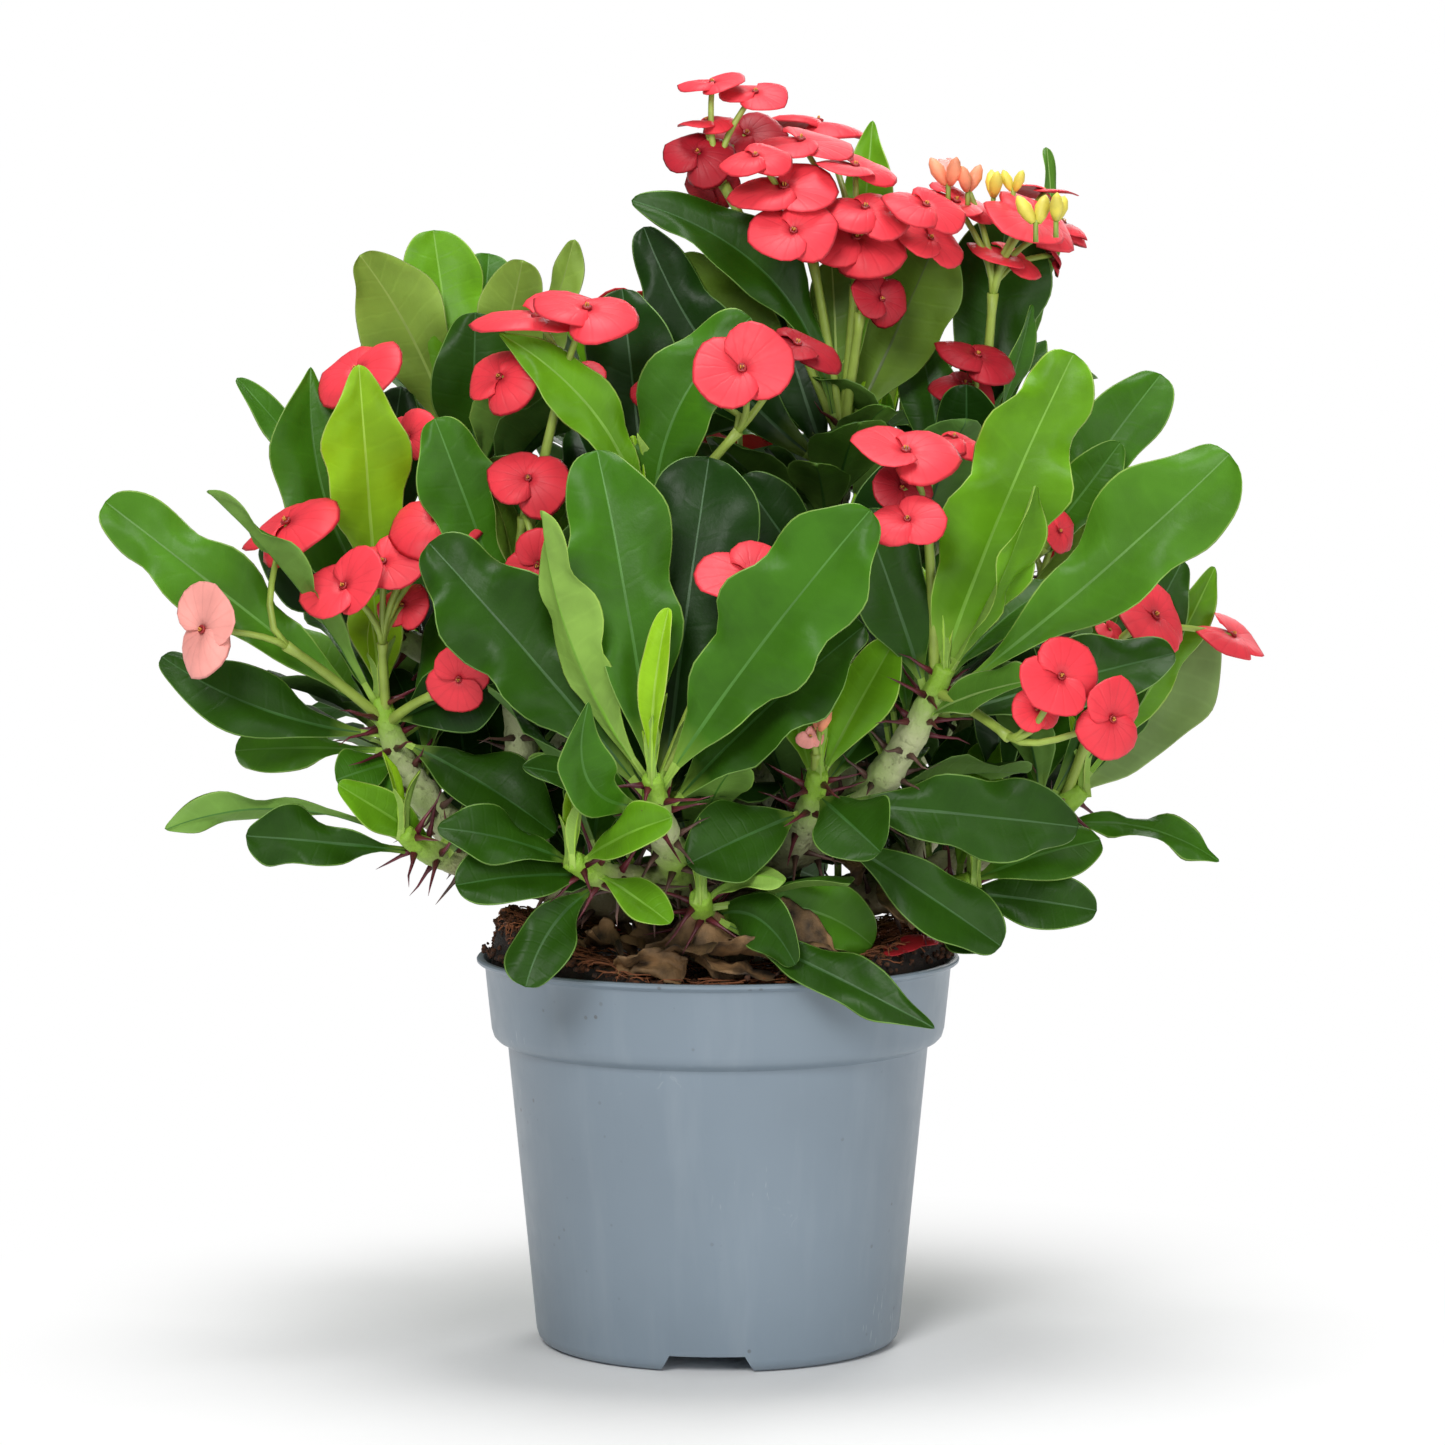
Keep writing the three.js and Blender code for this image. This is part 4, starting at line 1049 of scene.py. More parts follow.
def grow_inner_leaves(name, index):
    """Leaves lower on a bough, that lean inwards, fill the shady inside and stay within it."""
    route = stems[name]
    ways = np.arange(INNER["first"], route.length - LEAF_ZONE[1] / 2, INNER["spacing"])
    for i, way in enumerate(ways):
        share = way / route.length
        start = route.at(share)
        length = INNER["length"] * (1 + INNER["length_scatter"] * wobble(i, index + 2))
        lift = math.radians(INNER["lift"] + INNER["lift_scatter"] * wobble(index, i + 5))
        inwards = math.degrees(math.atan2(INNER["middle"] - start[1], -start[0]))
        inwards += INNER["spread"] * wobble(i, index)

        def form_at(nudge):
            out = level(math.radians(inwards + nudge))
            tip = start + (out * math.cos(lift) + UP * math.sin(lift)) * length
            return leaf_form(sunk_root(name, share, tip), tip, UP - INNER["lean"] * out,
                             INNER["width_share"] * length, 7 * index + i, **INNER_FORM)

        grow_if_clear(leaf_heaps[INNER_SHADES[i % len(INNER_SHADES)]], INNER_NUDGES, form_at, BOUGH_ROOTS)


def grow_gap_leaf(row, seed):
    """A leaf from a bough to a place that the front view shows filled."""
    name, share, tip, width, tilt, shade = row
    tip = np.array(tip, float)
    root = sunk_root(name, share, tip)

    def form_at(nudge):
        return leaf_form(root, tip - VIEWER * nudge, VIEWER, width, seed, tilt=tilt, stations=GAP_STATIONS)

    grow_if_clear(leaf_heaps[shade], DEPTH_NUDGES, form_at, BOUGH_ROOTS)


def grow_tip_leaves(name, index):
    """The bud at a shoot's tip: a few small upright leaves round it."""
    top = stems[name].at(1)
    for i in range(TIP_LEAVES["count"]):
        out = level(math.radians(GOLDEN_ANGLE * i + TIP_LEAVES["shoot_turn"] * index))
        length, reach_out, width = (first + more * i for first, more in (
            TIP_LEAVES["length"], TIP_LEAVES["out"], TIP_LEAVES["width"]))
        tip = top + UP * length + out * reach_out
        root = top - UP * TIP_LEAF_ROOT["below"] + out * TIP_LEAF_ROOT["out"]
        leaf_heaps["young"].add(leaf_form(root, tip, UP - out, width, index + i, **TIP_LEAF_FORM))


def bloom_facing(centre, fork, pitch):
    """Which way a bloom faces: up and outwards from a line behind the plant's middle."""
    out = unit(np.array([centre[0] / 2, centre[1] - BLOOM["behind"], 0]))
    p = math.radians(pitch)
    return unit(UP * math.cos(p) + out * math.sin(p) + unit(centre - fork) * BLOOM["along"])


def bract_pair(centre, facing, turn, width, seed):
    """Two bracts that face each other across a bloom's centre."""
    heading = turned_about(side_of(facing), facing, turn)
    return [bract_form(centre, facing, heading, width / 2, seed),
            bract_form(centre, facing, -heading, width / 2, seed + 9)]


def add_flower(centre, facing, width, seed):
    """The tiny flower between a bloom's bracts, with its stamens."""
    size = width / FLOWER["width"]
    centres.add(turned_cup(centre, facing, resized(FLOWER["profile"], size), FLOWER["sides"]))
    middle, top = STAMENS["heights"]
    for i in range(STAMENS["count"]):
        turn = 360 / STAMENS["count"] * i + STAMENS["scatter"] * wobble(seed, i)
        out = turned_about(side_of(facing), facing, turn)
        root = centre + facing * STAMENS["up"] * size + out * STAMENS["out"] * size
        points = [root, root + facing * middle * size + out * STAMENS["lean"], root + facing * top * size]
        stamens.add(tube(points, STAMENS["radii"], STAMENS["sides"]))


def grow_bloom(name, fork, axis, row, seed):
    """A pair of bracts with its tiny flower, and the stalk from the fork to it."""
    across, forward, up = row["reach"]
    shade = row["shade"] or ("coral", "rose")[seed % 3 == 0]
    turn = BLOOM["turn_scatter"] * wobble(seed, 7) if row["turn"] is None else row["turn"]

    def pair_at(nudge):
        centre = reach(name, across, forward + nudge, up)
        facing = bloom_facing(centre, fork, row["pitch"])
        forms = bract_pair(centre, facing, turn, row["width"], seed)
        shift = len(forms[0][0])
        faces = forms[0][1] + [tuple(i + shift for i in face) for face in forms[1][1]]
        return np.vstack([form[0] for form in forms]), faces, forms, centre, facing

    _, _, forms, centre, facing = grow(DEPTH_NUDGES, pair_at)
    for form in forms:
        bract_heaps[shade].add(form)
    bend = fork + axis * BLOOM["bend"] * np.linalg.norm(centre - fork)
    route = Route(fork - axis, bend, centre - facing * BRACT["thickness"])
    count = BLOOM_STALK["points"]
    stalks.add(tube(route.points(count), np.linspace(*BLOOM_STALK["radii"], count), BLOOM_STALK["sides"]))
    add_flower(centre, facing, row["width"], seed)


def grow_head(name, row, seed):
    """A flower stalk that forks near its end, with its blooms."""
    root = below_tip(name, FLOWER_ZONE)
    fork = reach(name, *row["fork"])
    lift = stems[name].heading(HEAD["from"]) * HEAD["bend"] * np.linalg.norm(fork - root)
    route = Route(root, mix(root, fork, 0.5) + lift, fork)
    widths = np.interp(np.linspace(0, 1, HEAD["points"]), *zip(*HEAD["radii"]))
    stalks.add(tube(route.points(HEAD["points"]), widths, HEAD["sides"]))
    for i, bloom_row in enumerate(row["blooms"]):
        grow_bloom(name, fork, route.heading(1), bloom_row, seed + i)


def grow_bud(kind, x, y, z, size, seed):
    """An unopened pair of bracts, upright on a short stalk."""
    foot = np.array([x, y, z], float)
    lean = unit(UP + BUD["lean"] * np.array([wobble(seed, 1), wobble(seed, 2), 0]))
    way = turned_about(side_of(lean), lean, BUD["turn"] * seed)
    for half in (-1, 1):
        towards = unit(lean * BUD["rise"] + way * half)
        middle = foot + way * half * BUD["apart"] * size
        bud_heaps[kind].add(turned_cup(middle, towards, resized(BUD_PROFILE, size), BUD["sides"]))
    points = [foot - UP * size * step for step in BUD_STALK["steps"]] + [foot + UP]
    stalks.add(tube(points, BUD_STALK["radii"], BUD_STALK["sides"]))


def seat_stems():
    """Put every stem in place first, so that the leaves keep clear of it."""
    shares = np.linspace(0, 1, 9)
    for name, route in stems.items():
        points, faces, _, _ = tube(route.points(len(shares)), [radius_on(name, s) for s in shares], 6)
        seat(points, faces)


def grow_plant():
    """Blooms and posed leaves take their places first, and what the rule adds fits between them."""
    shoots = list(enumerate(SHOOTS.items()))
    seat_stems()
    for index, (name, shoot) in shoots:
        for number, row in enumerate(shoot.get("heads", [])):
            grow_head(name, row, 100 * index + 20 * number)
        posed = shoot.get("posed", [])
        for number, row in enumerate(posed):
            grow_posed_leaf(name, row, (number + 0.5) / len(posed), index)
    for number, row in enumerate(GAP_LEAVES):
        grow_gap_leaf(row, 500 + number)
    for index, (name, shoot) in shoots:
        for i in range(shoot["spiral"]):
            grow_spiral_leaf(name, shoot, index, i)
        grow_tip_leaves(name, index)
        grow_spines(name, shoot, index)
    for index, (name, _) in shoots:
        grow_inner_leaves(name, index)
    for number, row in enumerate(BUDS):
        grow_bud(*row, number)


grow_plant()


# Shader nodes.
class Nodes:
    """Adds nodes to one tree. What goes in is a socket or a plain value, and what comes out a socket."""

    def __init__(self, tree):
        self.tree = tree

    def put(self, value, socket):
        if isinstance(value, bpy.types.NodeSocket):
            self.tree.links.new(value, socket)
        else:
            socket.default_value = value

    def add(self, kind, inputs=(), output=0, **settings):
        node = self.tree.nodes.new("ShaderNode" + kind)
        for key, value in settings.items():
            setattr(node, key, value)
        for key, value in dict(inputs).items():
            self.put(value, node.inputs[key])
        return node.outputs[output]

    def math(self, operation, *values, clamp=False):
        return self.add("Math", enumerate(values), operation=operation, use_clamp=clamp)

    def plus(self, a, b, clamp=False):
        return self.math("ADD", a, b, clamp=clamp)

    def minus(self, a, b):
        return self.math("SUBTRACT", a, b)

    def times(self, a, b):
        return self.math("MULTIPLY", a, b)

    def size_of(self, a):
        return self.math("ABSOLUTE", a)

    def inverse(self, mask):
        return self.math("SUBTRACT", 1.0, mask, clamp=True)

    def place(self):
        return self.add("TexCoord", output="Object")

    def mesh_place(self):
        """A point's place across and along its own small form."""
        return self.split(self.add("UVMap", uv_map="leaf_place"))

    def split(self, vector):
        """A vector's three parts as a row of sockets."""
        parts = self.tree.nodes.new("ShaderNodeSeparateXYZ")
        self.put(vector, parts.inputs[0])
        return parts.outputs

    def stretched(self, scale):
        """Object coordinates that stretch a pattern out along one way."""
        return self.add("Mapping", {"Vector": self.place(), "Scale": scale})

    def noise(self, scale, detail=3, roughness=0.55, distortion=0.0, vector=None):
        return self.add("TexNoise", {
            "Scale": scale, "Detail": detail, "Roughness": roughness, "Distortion": distortion,
            "Vector": vector or self.place(),
        })

    def ramp(self, value, low, high):
        """A value spread from 0 at low to 1 at high."""
        return self.add("MapRange", {"From Min": low, "From Max": high, "Value": value})

    def spread(self, mask, amount, base):
        """A mask as a value that starts at a base and varies by an amount."""
        return self.plus(self.times(mask, amount), base)

    def mix(self, factor, a, b):
        return self.add("Mix", {0: factor, 6: a, 7: b}, 2, data_type="RGBA")

    def tint(self, shown, mask, strength, colour):
        """A colour laid over what is shown, as far as a mask and a strength let it."""
        return self.mix(self.times(mask, strength), shown, linear(colour))

    def group(self, group, **values):
        """A shader group with its own values. What comes out is its sockets by name."""
        node = self.tree.nodes.new("ShaderNodeGroup")
        node.node_tree = group
        for key, value in values.items():
            self.put(value, node.inputs[key])
        return node.outputs

    def mottled(self, colour, scale, amount):
        return self.group(MOTTLE, Colour=linear(colour), Scale=scale, Amount=amount)["Colour"]

    def bump(self, height, strength, distance):
        return self.add("Bump", {"Strength": strength, "Distance": distance, "Height": height})


FLOAT, COLOUR = "NodeSocketFloat", "NodeSocketColor"


def new_group(name, inputs, outputs):
    """An empty group: its nodes, and the sockets that it reads and those that it puts out."""
    group = bpy.data.node_groups.new(name, "ShaderNodeTree")
    for kind, label, value in inputs:
        socket = group.interface.new_socket(label, in_out="INPUT", socket_type=kind)
        if value is not None:
            socket.default_value = value
    for kind, label in outputs:
        group.interface.new_socket(label, in_out="OUTPUT", socket_type=kind)
    source = group.nodes.new("NodeGroupInput")
    target = group.nodes.new("NodeGroupOutput")
    return group, Nodes(group), source.outputs, target.inputs


def make_mottle_group():
    """Soft light and dark patches over a colour."""
    group, nodes, given, result = new_group(
        "soft_mottle",
        [(COLOUR, "Colour", None), (FLOAT, "Scale", 40.0), (FLOAT, "Amount", 0.3)],
        [(COLOUR, "Colour")],
    )
    patches = nodes.ramp(nodes.noise(given["Scale"], 4, 0.5), 0.35, 0.65)
    brightness = nodes.spread(nodes.minus(patches, 0.5), given["Amount"], 1.0)
    shaded = nodes.add("VectorMath", {0: given["Colour"], "Scale": brightness}, operation="SCALE")
    nodes.put(shaded, result["Colour"])
    return group


def make_vein_group():
    """A leaf's side veins, and how near its edge and its foot a point is."""
    group, nodes, given, result = new_group(
        "leaf_veins",
        [(FLOAT, "Count", 12.0), (FLOAT, "Slant", 0.35)],
        [(FLOAT, "Lines"), (FLOAT, "Edge"), (FLOAT, "Base"), (FLOAT, "Height")],
    )
    across, along, _ = nodes.mesh_place()
    out = nodes.size_of(nodes.minus(across, 0.5))
    slant = nodes.times(out, nodes.times(given["Slant"], 4.0))
    slanted = nodes.minus(nodes.times(along, given["Count"]), slant)
    phase = nodes.math("FRACT", nodes.plus(slanted, nodes.times(nodes.noise(90, 2), 0.5)))
    lines = nodes.inverse(nodes.ramp(nodes.size_of(nodes.minus(phase, 0.5)), 0.0, 0.14))
    nodes.put(lines, result["Lines"])
    nodes.put(nodes.ramp(out, 0.38, 0.5), result["Edge"])
    nodes.put(nodes.inverse(nodes.ramp(along, 0.04, 0.24)), result["Base"])
    nodes.put(nodes.times(lines, -1.0), result["Height"])
    return group


MOTTLE = make_mottle_group()
VEINS = make_vein_group()


# Materials.
def new_material(name):
    """A material with its nodes and its shader's inputs."""
    material = bpy.data.materials.new(name)
    material.use_nodes = True
    shader = material.node_tree.nodes["Principled BSDF"]
    return material, Nodes(material.node_tree), shader.inputs


def leaf_material(name, colour, veined, gloss):
    """Leaf skin: mottled, with faint side veins in colour and relief, and a yellower edge."""
    material, nodes, skin = new_material(name)
    veins = nodes.group(VEINS)
    lighter = tuple(min(255, c * 1.2 + 10) for c in colour)
    shown = nodes.tint(nodes.mottled(colour, 45.0, 0.35), veins["Lines"], veined, lighter)
    shown = nodes.tint(shown, veins["Edge"], 0.25, lighter)
    nodes.put(nodes.tint(shown, veins["Base"], 0.7, COLOURS["leaf_stalk"]), skin["Base Color"])
    nodes.put(nodes.spread(nodes.noise(260), 0.16, gloss), skin["Roughness"])
    nodes.put(0.17, skin["Specular IOR Level"])
    height = nodes.plus(nodes.times(veins["Height"], 0.35), nodes.times(nodes.noise(700, 2), 0.5))
    nodes.put(nodes.bump(height, 0.35, 0.0004), skin["Normal"])
    return material


def plain_skin(name, colour, roughness, amount=0.3, scale=60.0, relief=0.25):
    """A thin plant skin: one mottled colour with fine relief."""
    material, nodes, skin = new_material(name)
    nodes.put(nodes.mottled(colour, scale, amount), skin["Base Color"])
    grain = nodes.noise(scale * 12)
    nodes.put(nodes.spread(grain, 0.2, roughness - 0.1), skin["Roughness"])
    nodes.put(nodes.bump(grain, relief, 0.0003), skin["Normal"])
    return material


def bract_material(name, colour):
    """Bract skin: painted shade darkens it towards the heart of its cup, and fine veins spread from it."""
    material, nodes, skin = new_material(name)
    across, along, _ = nodes.mesh_place()
    # painted shade: the bract darkens towards its heart, where its cup deepens
    heart = nodes.inverse(nodes.ramp(along, 0.1, 0.45))
    spokes = nodes.math("FRACT", nodes.times(across, 11.0))
    lines = nodes.inverse(nodes.ramp(nodes.size_of(nodes.minus(spokes, 0.5)), 0.0, 0.16))
    darker = tuple(c * 0.8 for c in colour)
    shown = nodes.tint(nodes.mottled(colour, 80.0, 0.2), heart, 0.5, darker)
    nodes.put(nodes.tint(shown, lines, 0.18, darker), skin["Base Color"])
    nodes.put(nodes.spread(nodes.noise(500, 2), 0.2, 0.4), skin["Roughness"])
    nodes.put(0.3, skin["Specular IOR Level"])
    nodes.put(nodes.bump(nodes.times(lines, -1.0), 0.25, 0.0003), skin["Normal"])
    return material


def stem_material(name):
    """Stem bark: brown at the foot, grey-green above, bright green at a shoot's tip, with scars."""
    material, nodes, skin = new_material(name)
    uneven = nodes.times(nodes.minus(nodes.noise(35), 0.5), 0.03)
    risen = nodes.ramp(nodes.plus(nodes.split(nodes.place())[2], uneven), 0.15, 0.19)
    shown = nodes.mix(risen, linear(COLOURS["stem_foot"]), linear(COLOURS["stem"]))
    from_tip = nodes.add("Attribute", output="Fac", attribute_name="from_tip")
    youth = nodes.inverse(nodes.ramp(from_tip, 0.008, 0.028))
    shown = nodes.mix(youth, shown, linear(COLOURS["stem_tip"]))
    old = nodes.minus(1.0, nodes.times(youth, 0.8))
    flecks = nodes.times(nodes.ramp(nodes.noise(420, 4, 0.7), 0.52, 0.7), old)
    shown = nodes.tint(shown, flecks, 0.45, COLOURS["stem_fleck"])
    scars = nodes.times(nodes.ramp(nodes.noise(190, 4, 0.6, 1.5), 0.58, 0.72), old)
    nodes.put(nodes.tint(shown, scars, 0.6, COLOURS["stem_scar"]), skin["Base Color"])
    nodes.put(nodes.spread(flecks, 0.2, 0.6), skin["Roughness"])
    height = nodes.minus(nodes.noise(300, 5, 0.65), nodes.times(scars, 0.5))
    nodes.put(nodes.bump(height, 0.7, 0.0012), skin["Normal"])
    return material


def pot_material():
    """Thin moulded plastic: satin, faintly streaked, with scuffs, scratches and specks of soil."""
    material, nodes, skin = new_material("pot_plastic")
    streaks = nodes.ramp(nodes.noise(60, 4, 0.6, vector=nodes.stretched((1, 1, 0.12))), 0.5, 0.8)
    shown = nodes.tint(nodes.mottled(COLOURS["pot"], 9.0, 0.12), streaks, 0.18, COLOURS["pot_streak"])
    scratches = nodes.ramp(nodes.noise(700, 2, 0.5, vector=nodes.stretched((1, 1, 0.1))), 0.66, 0.74)
    scratches = nodes.times(scratches, nodes.ramp(nodes.noise(24, 2), 0.62, 0.7))
    smears = nodes.ramp(nodes.noise(210, 3, 0.6, 1.2), 0.6, 0.72)
    smears = nodes.times(smears, nodes.ramp(nodes.noise(19, 2), 0.64, 0.74))
    marks = nodes.plus(scratches, nodes.times(smears, 0.5), clamp=True)
    shown = nodes.tint(shown, marks, 0.5, COLOURS["pot_mark"])
    dots = nodes.add("TexVoronoi", {"Scale": 160, "Vector": nodes.place()}, "Distance")
    specks = nodes.inverse(nodes.ramp(dots, 0.08, 0.14))
    specks = nodes.times(specks, nodes.ramp(nodes.noise(30), 0.55, 0.68))
    nodes.put(nodes.tint(shown, specks, 0.7, COLOURS["pot_speck"]), skin["Base Color"])
    nodes.put(nodes.spread(nodes.noise(120, 4), 0.2, 0.3), skin["Roughness"])
    nodes.put(nodes.bump(nodes.minus(nodes.noise(260), marks), 0.12, 0.0004), skin["Normal"])
    return material


def soil_material(name, dark, light):
    """Peat in lumps of a dark and a lighter colour, with brown fibre showing in it, and very rough; for the
    bed both colours carry painted shade.
    """
    material, nodes, skin = new_material(name)
    lumps = nodes.ramp(nodes.noise(320, 6, 0.7), 0.42, 0.66)
    nodes.put(nodes.mix(lumps, linear(dark), linear(light)), skin["Base Color"])
    nodes.put(nodes.spread(lumps, 0.15, 0.8), skin["Roughness"])
    nodes.put(nodes.bump(nodes.noise(500, 6, 0.7), 1.0, 0.002), skin["Normal"])
    return material


# Making pieces.
def finish_piece(piece, materials, replaced=()):
    """A finished piece rides on the root body, materials and replaced nodes."""
    for material in materials:
        piece.data.materials.append(material)
    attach(piece, "root")
    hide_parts(*replaced)
    return piece


def piece_from(name, heap, materials):
    """One smooth mesh from a heap of small forms, with its finishes and its own UV map."""
    mesh = bpy.data.meshes.new(name)
    mesh.from_pydata((np.vstack(heap.points) * MM).tolist(), [], heap.faces)
    mesh.polygons.foreach_set("material_index", heap.finishes)
    mesh.polygons.foreach_set("use_smooth", [True] * len(heap.faces))
    corners = np.zeros(len(mesh.loops), np.int32)
    mesh.loops.foreach_get("vertex_index", corners)
    layer = mesh.uv_layers.new(name="leaf_place")
    layer.data.foreach_set("uv", np.vstack(heap.places)[corners].ravel())
    mesh.update()
    piece = bpy.data.objects.new(name, mesh)
    bpy.context.scene.collection.objects.link(piece)
    return finish_piece(piece, materials)


def only(o):
    """Select this object alone, and make it active."""
    bpy.ops.object.select_all(action="DESELECT")
    o.select_set(True)
    bpy.context.view_layer.objects.active = o


def apply_modifier(o, kind, **settings):
    only(o)
    bpy.ops.object.modifier_add(type=kind)
    modifier = o.modifiers[-1]
    for key, value in settings.items():
        setattr(modifier, key, value)
    bpy.ops.object.modifier_apply(modifier=modifier.name)


def settle(o):
    """Put an object's place, turn and size into its mesh."""
    only(o)
    bpy.ops.object.transform_apply(location=True, rotation=True, scale=True)


def smooth(o):
    only(o)
    bpy.ops.object.shade_smooth()


def turned_body(name, profile, sides):
    """A closed body turned from a profile: a disc, extruded and resized ring by ring."""
    radius, height = profile[0]
    bpy.ops.object.select_all(action="DESELECT")
    bpy.ops.mesh.primitive_circle_add(
        vertices=sides, radius=radius * MM, fill_type="NGON", location=(0, 0, height * MM)
    )
    body = bpy.context.object
    body.name = body.data.name = name
    bpy.ops.object.mode_set(mode="EDIT")
    bpy.ops.mesh.select_all(action="SELECT")
    for next_radius, next_height in profile[1:]:
        step = (0, 0, (next_height - height) * MM)
        bpy.ops.mesh.extrude_region_move(TRANSFORM_OT_translate={"value": step})
        share = next_radius / radius
        bpy.ops.transform.resize(value=(share, share, 1), center_override=(0, 0, next_height * MM))
        radius, height = next_radius, next_height
    bpy.ops.mesh.select_all(action="SELECT")
    bpy.ops.mesh.normals_make_consistent(inside=False)
    bpy.ops.object.mode_set(mode="OBJECT")
    settle(body)
    return body


def channel_block(index):
    """The tapered block that one channel takes out under the pot's foot."""
    length = CHANNEL["length"]
    bpy.ops.object.select_all(action="DESELECT")
    bpy.ops.mesh.primitive_cube_add(size=1, location=((CHANNEL["inner"] + length / 2) * MM, 0, 0))
    block = bpy.context.object
    block.scale = (length * MM, 2 * CHANNEL["foot_half"] * MM, 2 * CHANNEL["height"] * MM)
    settle(block)
    bpy.ops.object.mode_set(mode="EDIT")
    mesh = bmesh.from_edit_mesh(block.data)
    for vertex in mesh.verts:
        vertex.select_set(vertex.co.z > 0)
    mesh.select_flush(True)
    bmesh.update_edit_mesh(block.data)
    taper = CHANNEL["top_half"] / CHANNEL["foot_half"]
    bpy.ops.transform.resize(value=(1, taper, 1), center_override=(0, 0, 0))
    bpy.ops.object.mode_set(mode="OBJECT")
    block.rotation_euler = (0, 0, math.radians(CHANNEL["bearing"] + 360 * index / CHANNEL["count"]))
    settle(block)
    return block


def make_pot():
    """The pot's wall and floor as one turned body, with channels cut in its foot and rounded edges."""
    pot = turned_body("pot_shell", POT_OUTSIDE + POT_INSIDE, POT["sides"])
    for index in range(CHANNEL["count"]):
        block = channel_block(index)
        apply_modifier(pot, "BOOLEAN", operation="DIFFERENCE", solver="EXACT", object=block)
        bpy.data.objects.remove(block)
    apply_modifier(pot, "BEVEL", width=POT["round"] * MM, segments=2, limit_method="ANGLE",
                   angle_limit=math.radians(POT["sharp"]))
    only(pot)
    bpy.ops.object.shade_smooth_by_angle(angle=math.radians(POT["smooth"]))
    finish_piece(pot, [pot_material()], ["pot"])


def soil_height(x, y):
    """How high the soil stands: flat round the trunk, heaped by the rim at the left and right."""
    r = math.hypot(x, y)
    heap = SOIL["heap_left"] if x < 0 else SOIL["heap_right"]
    share = (x / r) ** 2 if r > 1 else 0
    crest = SOIL["middle"] + heap * share
    if r < SOIL["heap_radius"]:
        climb = max(0, r - SOIL["flat_radius"]) / (SOIL["heap_radius"] - SOIL["flat_radius"])
        return mix(SOIL["middle"], crest, climb)
    fall = (r - SOIL["heap_radius"]) / (SOIL["edge_radius"] - SOIL["heap_radius"])
    return mix(crest, SOIL["edge"], min(1, fall**3))


def crumble(x, y):
    """How far the soil's surface rises or sinks in small lumps, calmer towards its edge."""
    lumps = sum(rise * wobble(round(x / size), round(y / size)) for size, rise in LUMPS)
    return lumps * min(1, (SOIL["edge_radius"] - math.hypot(x, y)) / LUMPS_CALM)


def make_soil():
    """The soil bed: a turned block whose top is inset ring by ring and then heaped."""
    soil = turned_body("soil_bed", SOIL_SIDES, SOIL["sides"])
    bpy.ops.object.mode_set(mode="EDIT")
    bpy.ops.mesh.select_mode(type="FACE")
    bpy.ops.mesh.select_all(action="DESELECT")
    mesh = bmesh.from_edit_mesh(soil.data)
    top = max(mesh.faces, key=lambda face: face.calc_center_median().z)
    top.select_set(True)
    bmesh.update_edit_mesh(soil.data)
    for _ in range(SOIL["rings"]):
        bpy.ops.mesh.inset(thickness=SOIL["edge_radius"] / (SOIL["rings"] + 1) * MM)
    bpy.ops.mesh.poke()
    bpy.ops.mesh.select_mode(type="VERT")
    bpy.ops.object.mode_set(mode="OBJECT")
    just_below = (SOIL["edge"] - 0.5) * MM
    for vertex in soil.data.vertices:
        if vertex.co.z > just_below:
            x, y = vertex.co.x / MM, vertex.co.y / MM
            vertex.co.z = (soil_height(x, y) + crumble(x, y)) * MM
    smooth(soil)
    # painted shade: the bed's peat colours are darkened where the plant shades the soil
    peat = soil_material("peat", COLOURS["peat_dark_shaded"], COLOURS["peat_light_shaded"])
    finish_piece(soil, [peat], ["soil"])


LITTER_SEED = 17
LITTER_REACH = 78
HEAP_SPREAD = 0.45


def soil_spot(rng, low=0):
    """A random place on the soil from a radius outwards."""
    radius = math.sqrt(rng.uniform(low**2, LITTER_REACH**2))
    x, y, _ = level(rng.uniform(0, 2 * math.pi)) * radius
    return np.array([x, y, soil_height(x, y)])


def heap_spot(rng, low, high):
    """A place on one of the heaps, which lie at the left and the right behind the lip."""
    way = level(rng.choice([0, math.pi]) + rng.normal() * HEAP_SPREAD)
    x, y, _ = way * rng.uniform(low, high)
    return np.array([x, y, max(soil_height(x, y), SOIL["rim"])])


def crumb_form(centre, size, rng):
    """A small rough lump of soil."""
    axis = unit(rng.normal(size=3))
    points, *rest = turned_cup(np.zeros(3), axis, resized(CRUMB_PROFILE, size), CRUMBS["sides"])
    return centre + points * rng.uniform(*CRUMBS["uneven"], (len(points), 1)), *rest


def fibre_line(start, rng):
    """A curled fibre that lies on the soil, or a little above it."""
    way = level(rng.uniform(0, 2 * math.pi))
    length = rng.uniform(*FIBRES["lengths"])
    curl = rng.normal(size=3) * FIBRES["curl"] * length
    route = Route(start, start + way * length / 2 + curl, start + way * length)
    line = np.array(route.points(FIBRES["points"]))
    ground = np.array([soil_height(x, y) for x, y, _ in line])
    line[:, 2] = np.clip(line[:, 2], ground, ground + FIBRES["above"])
    return line


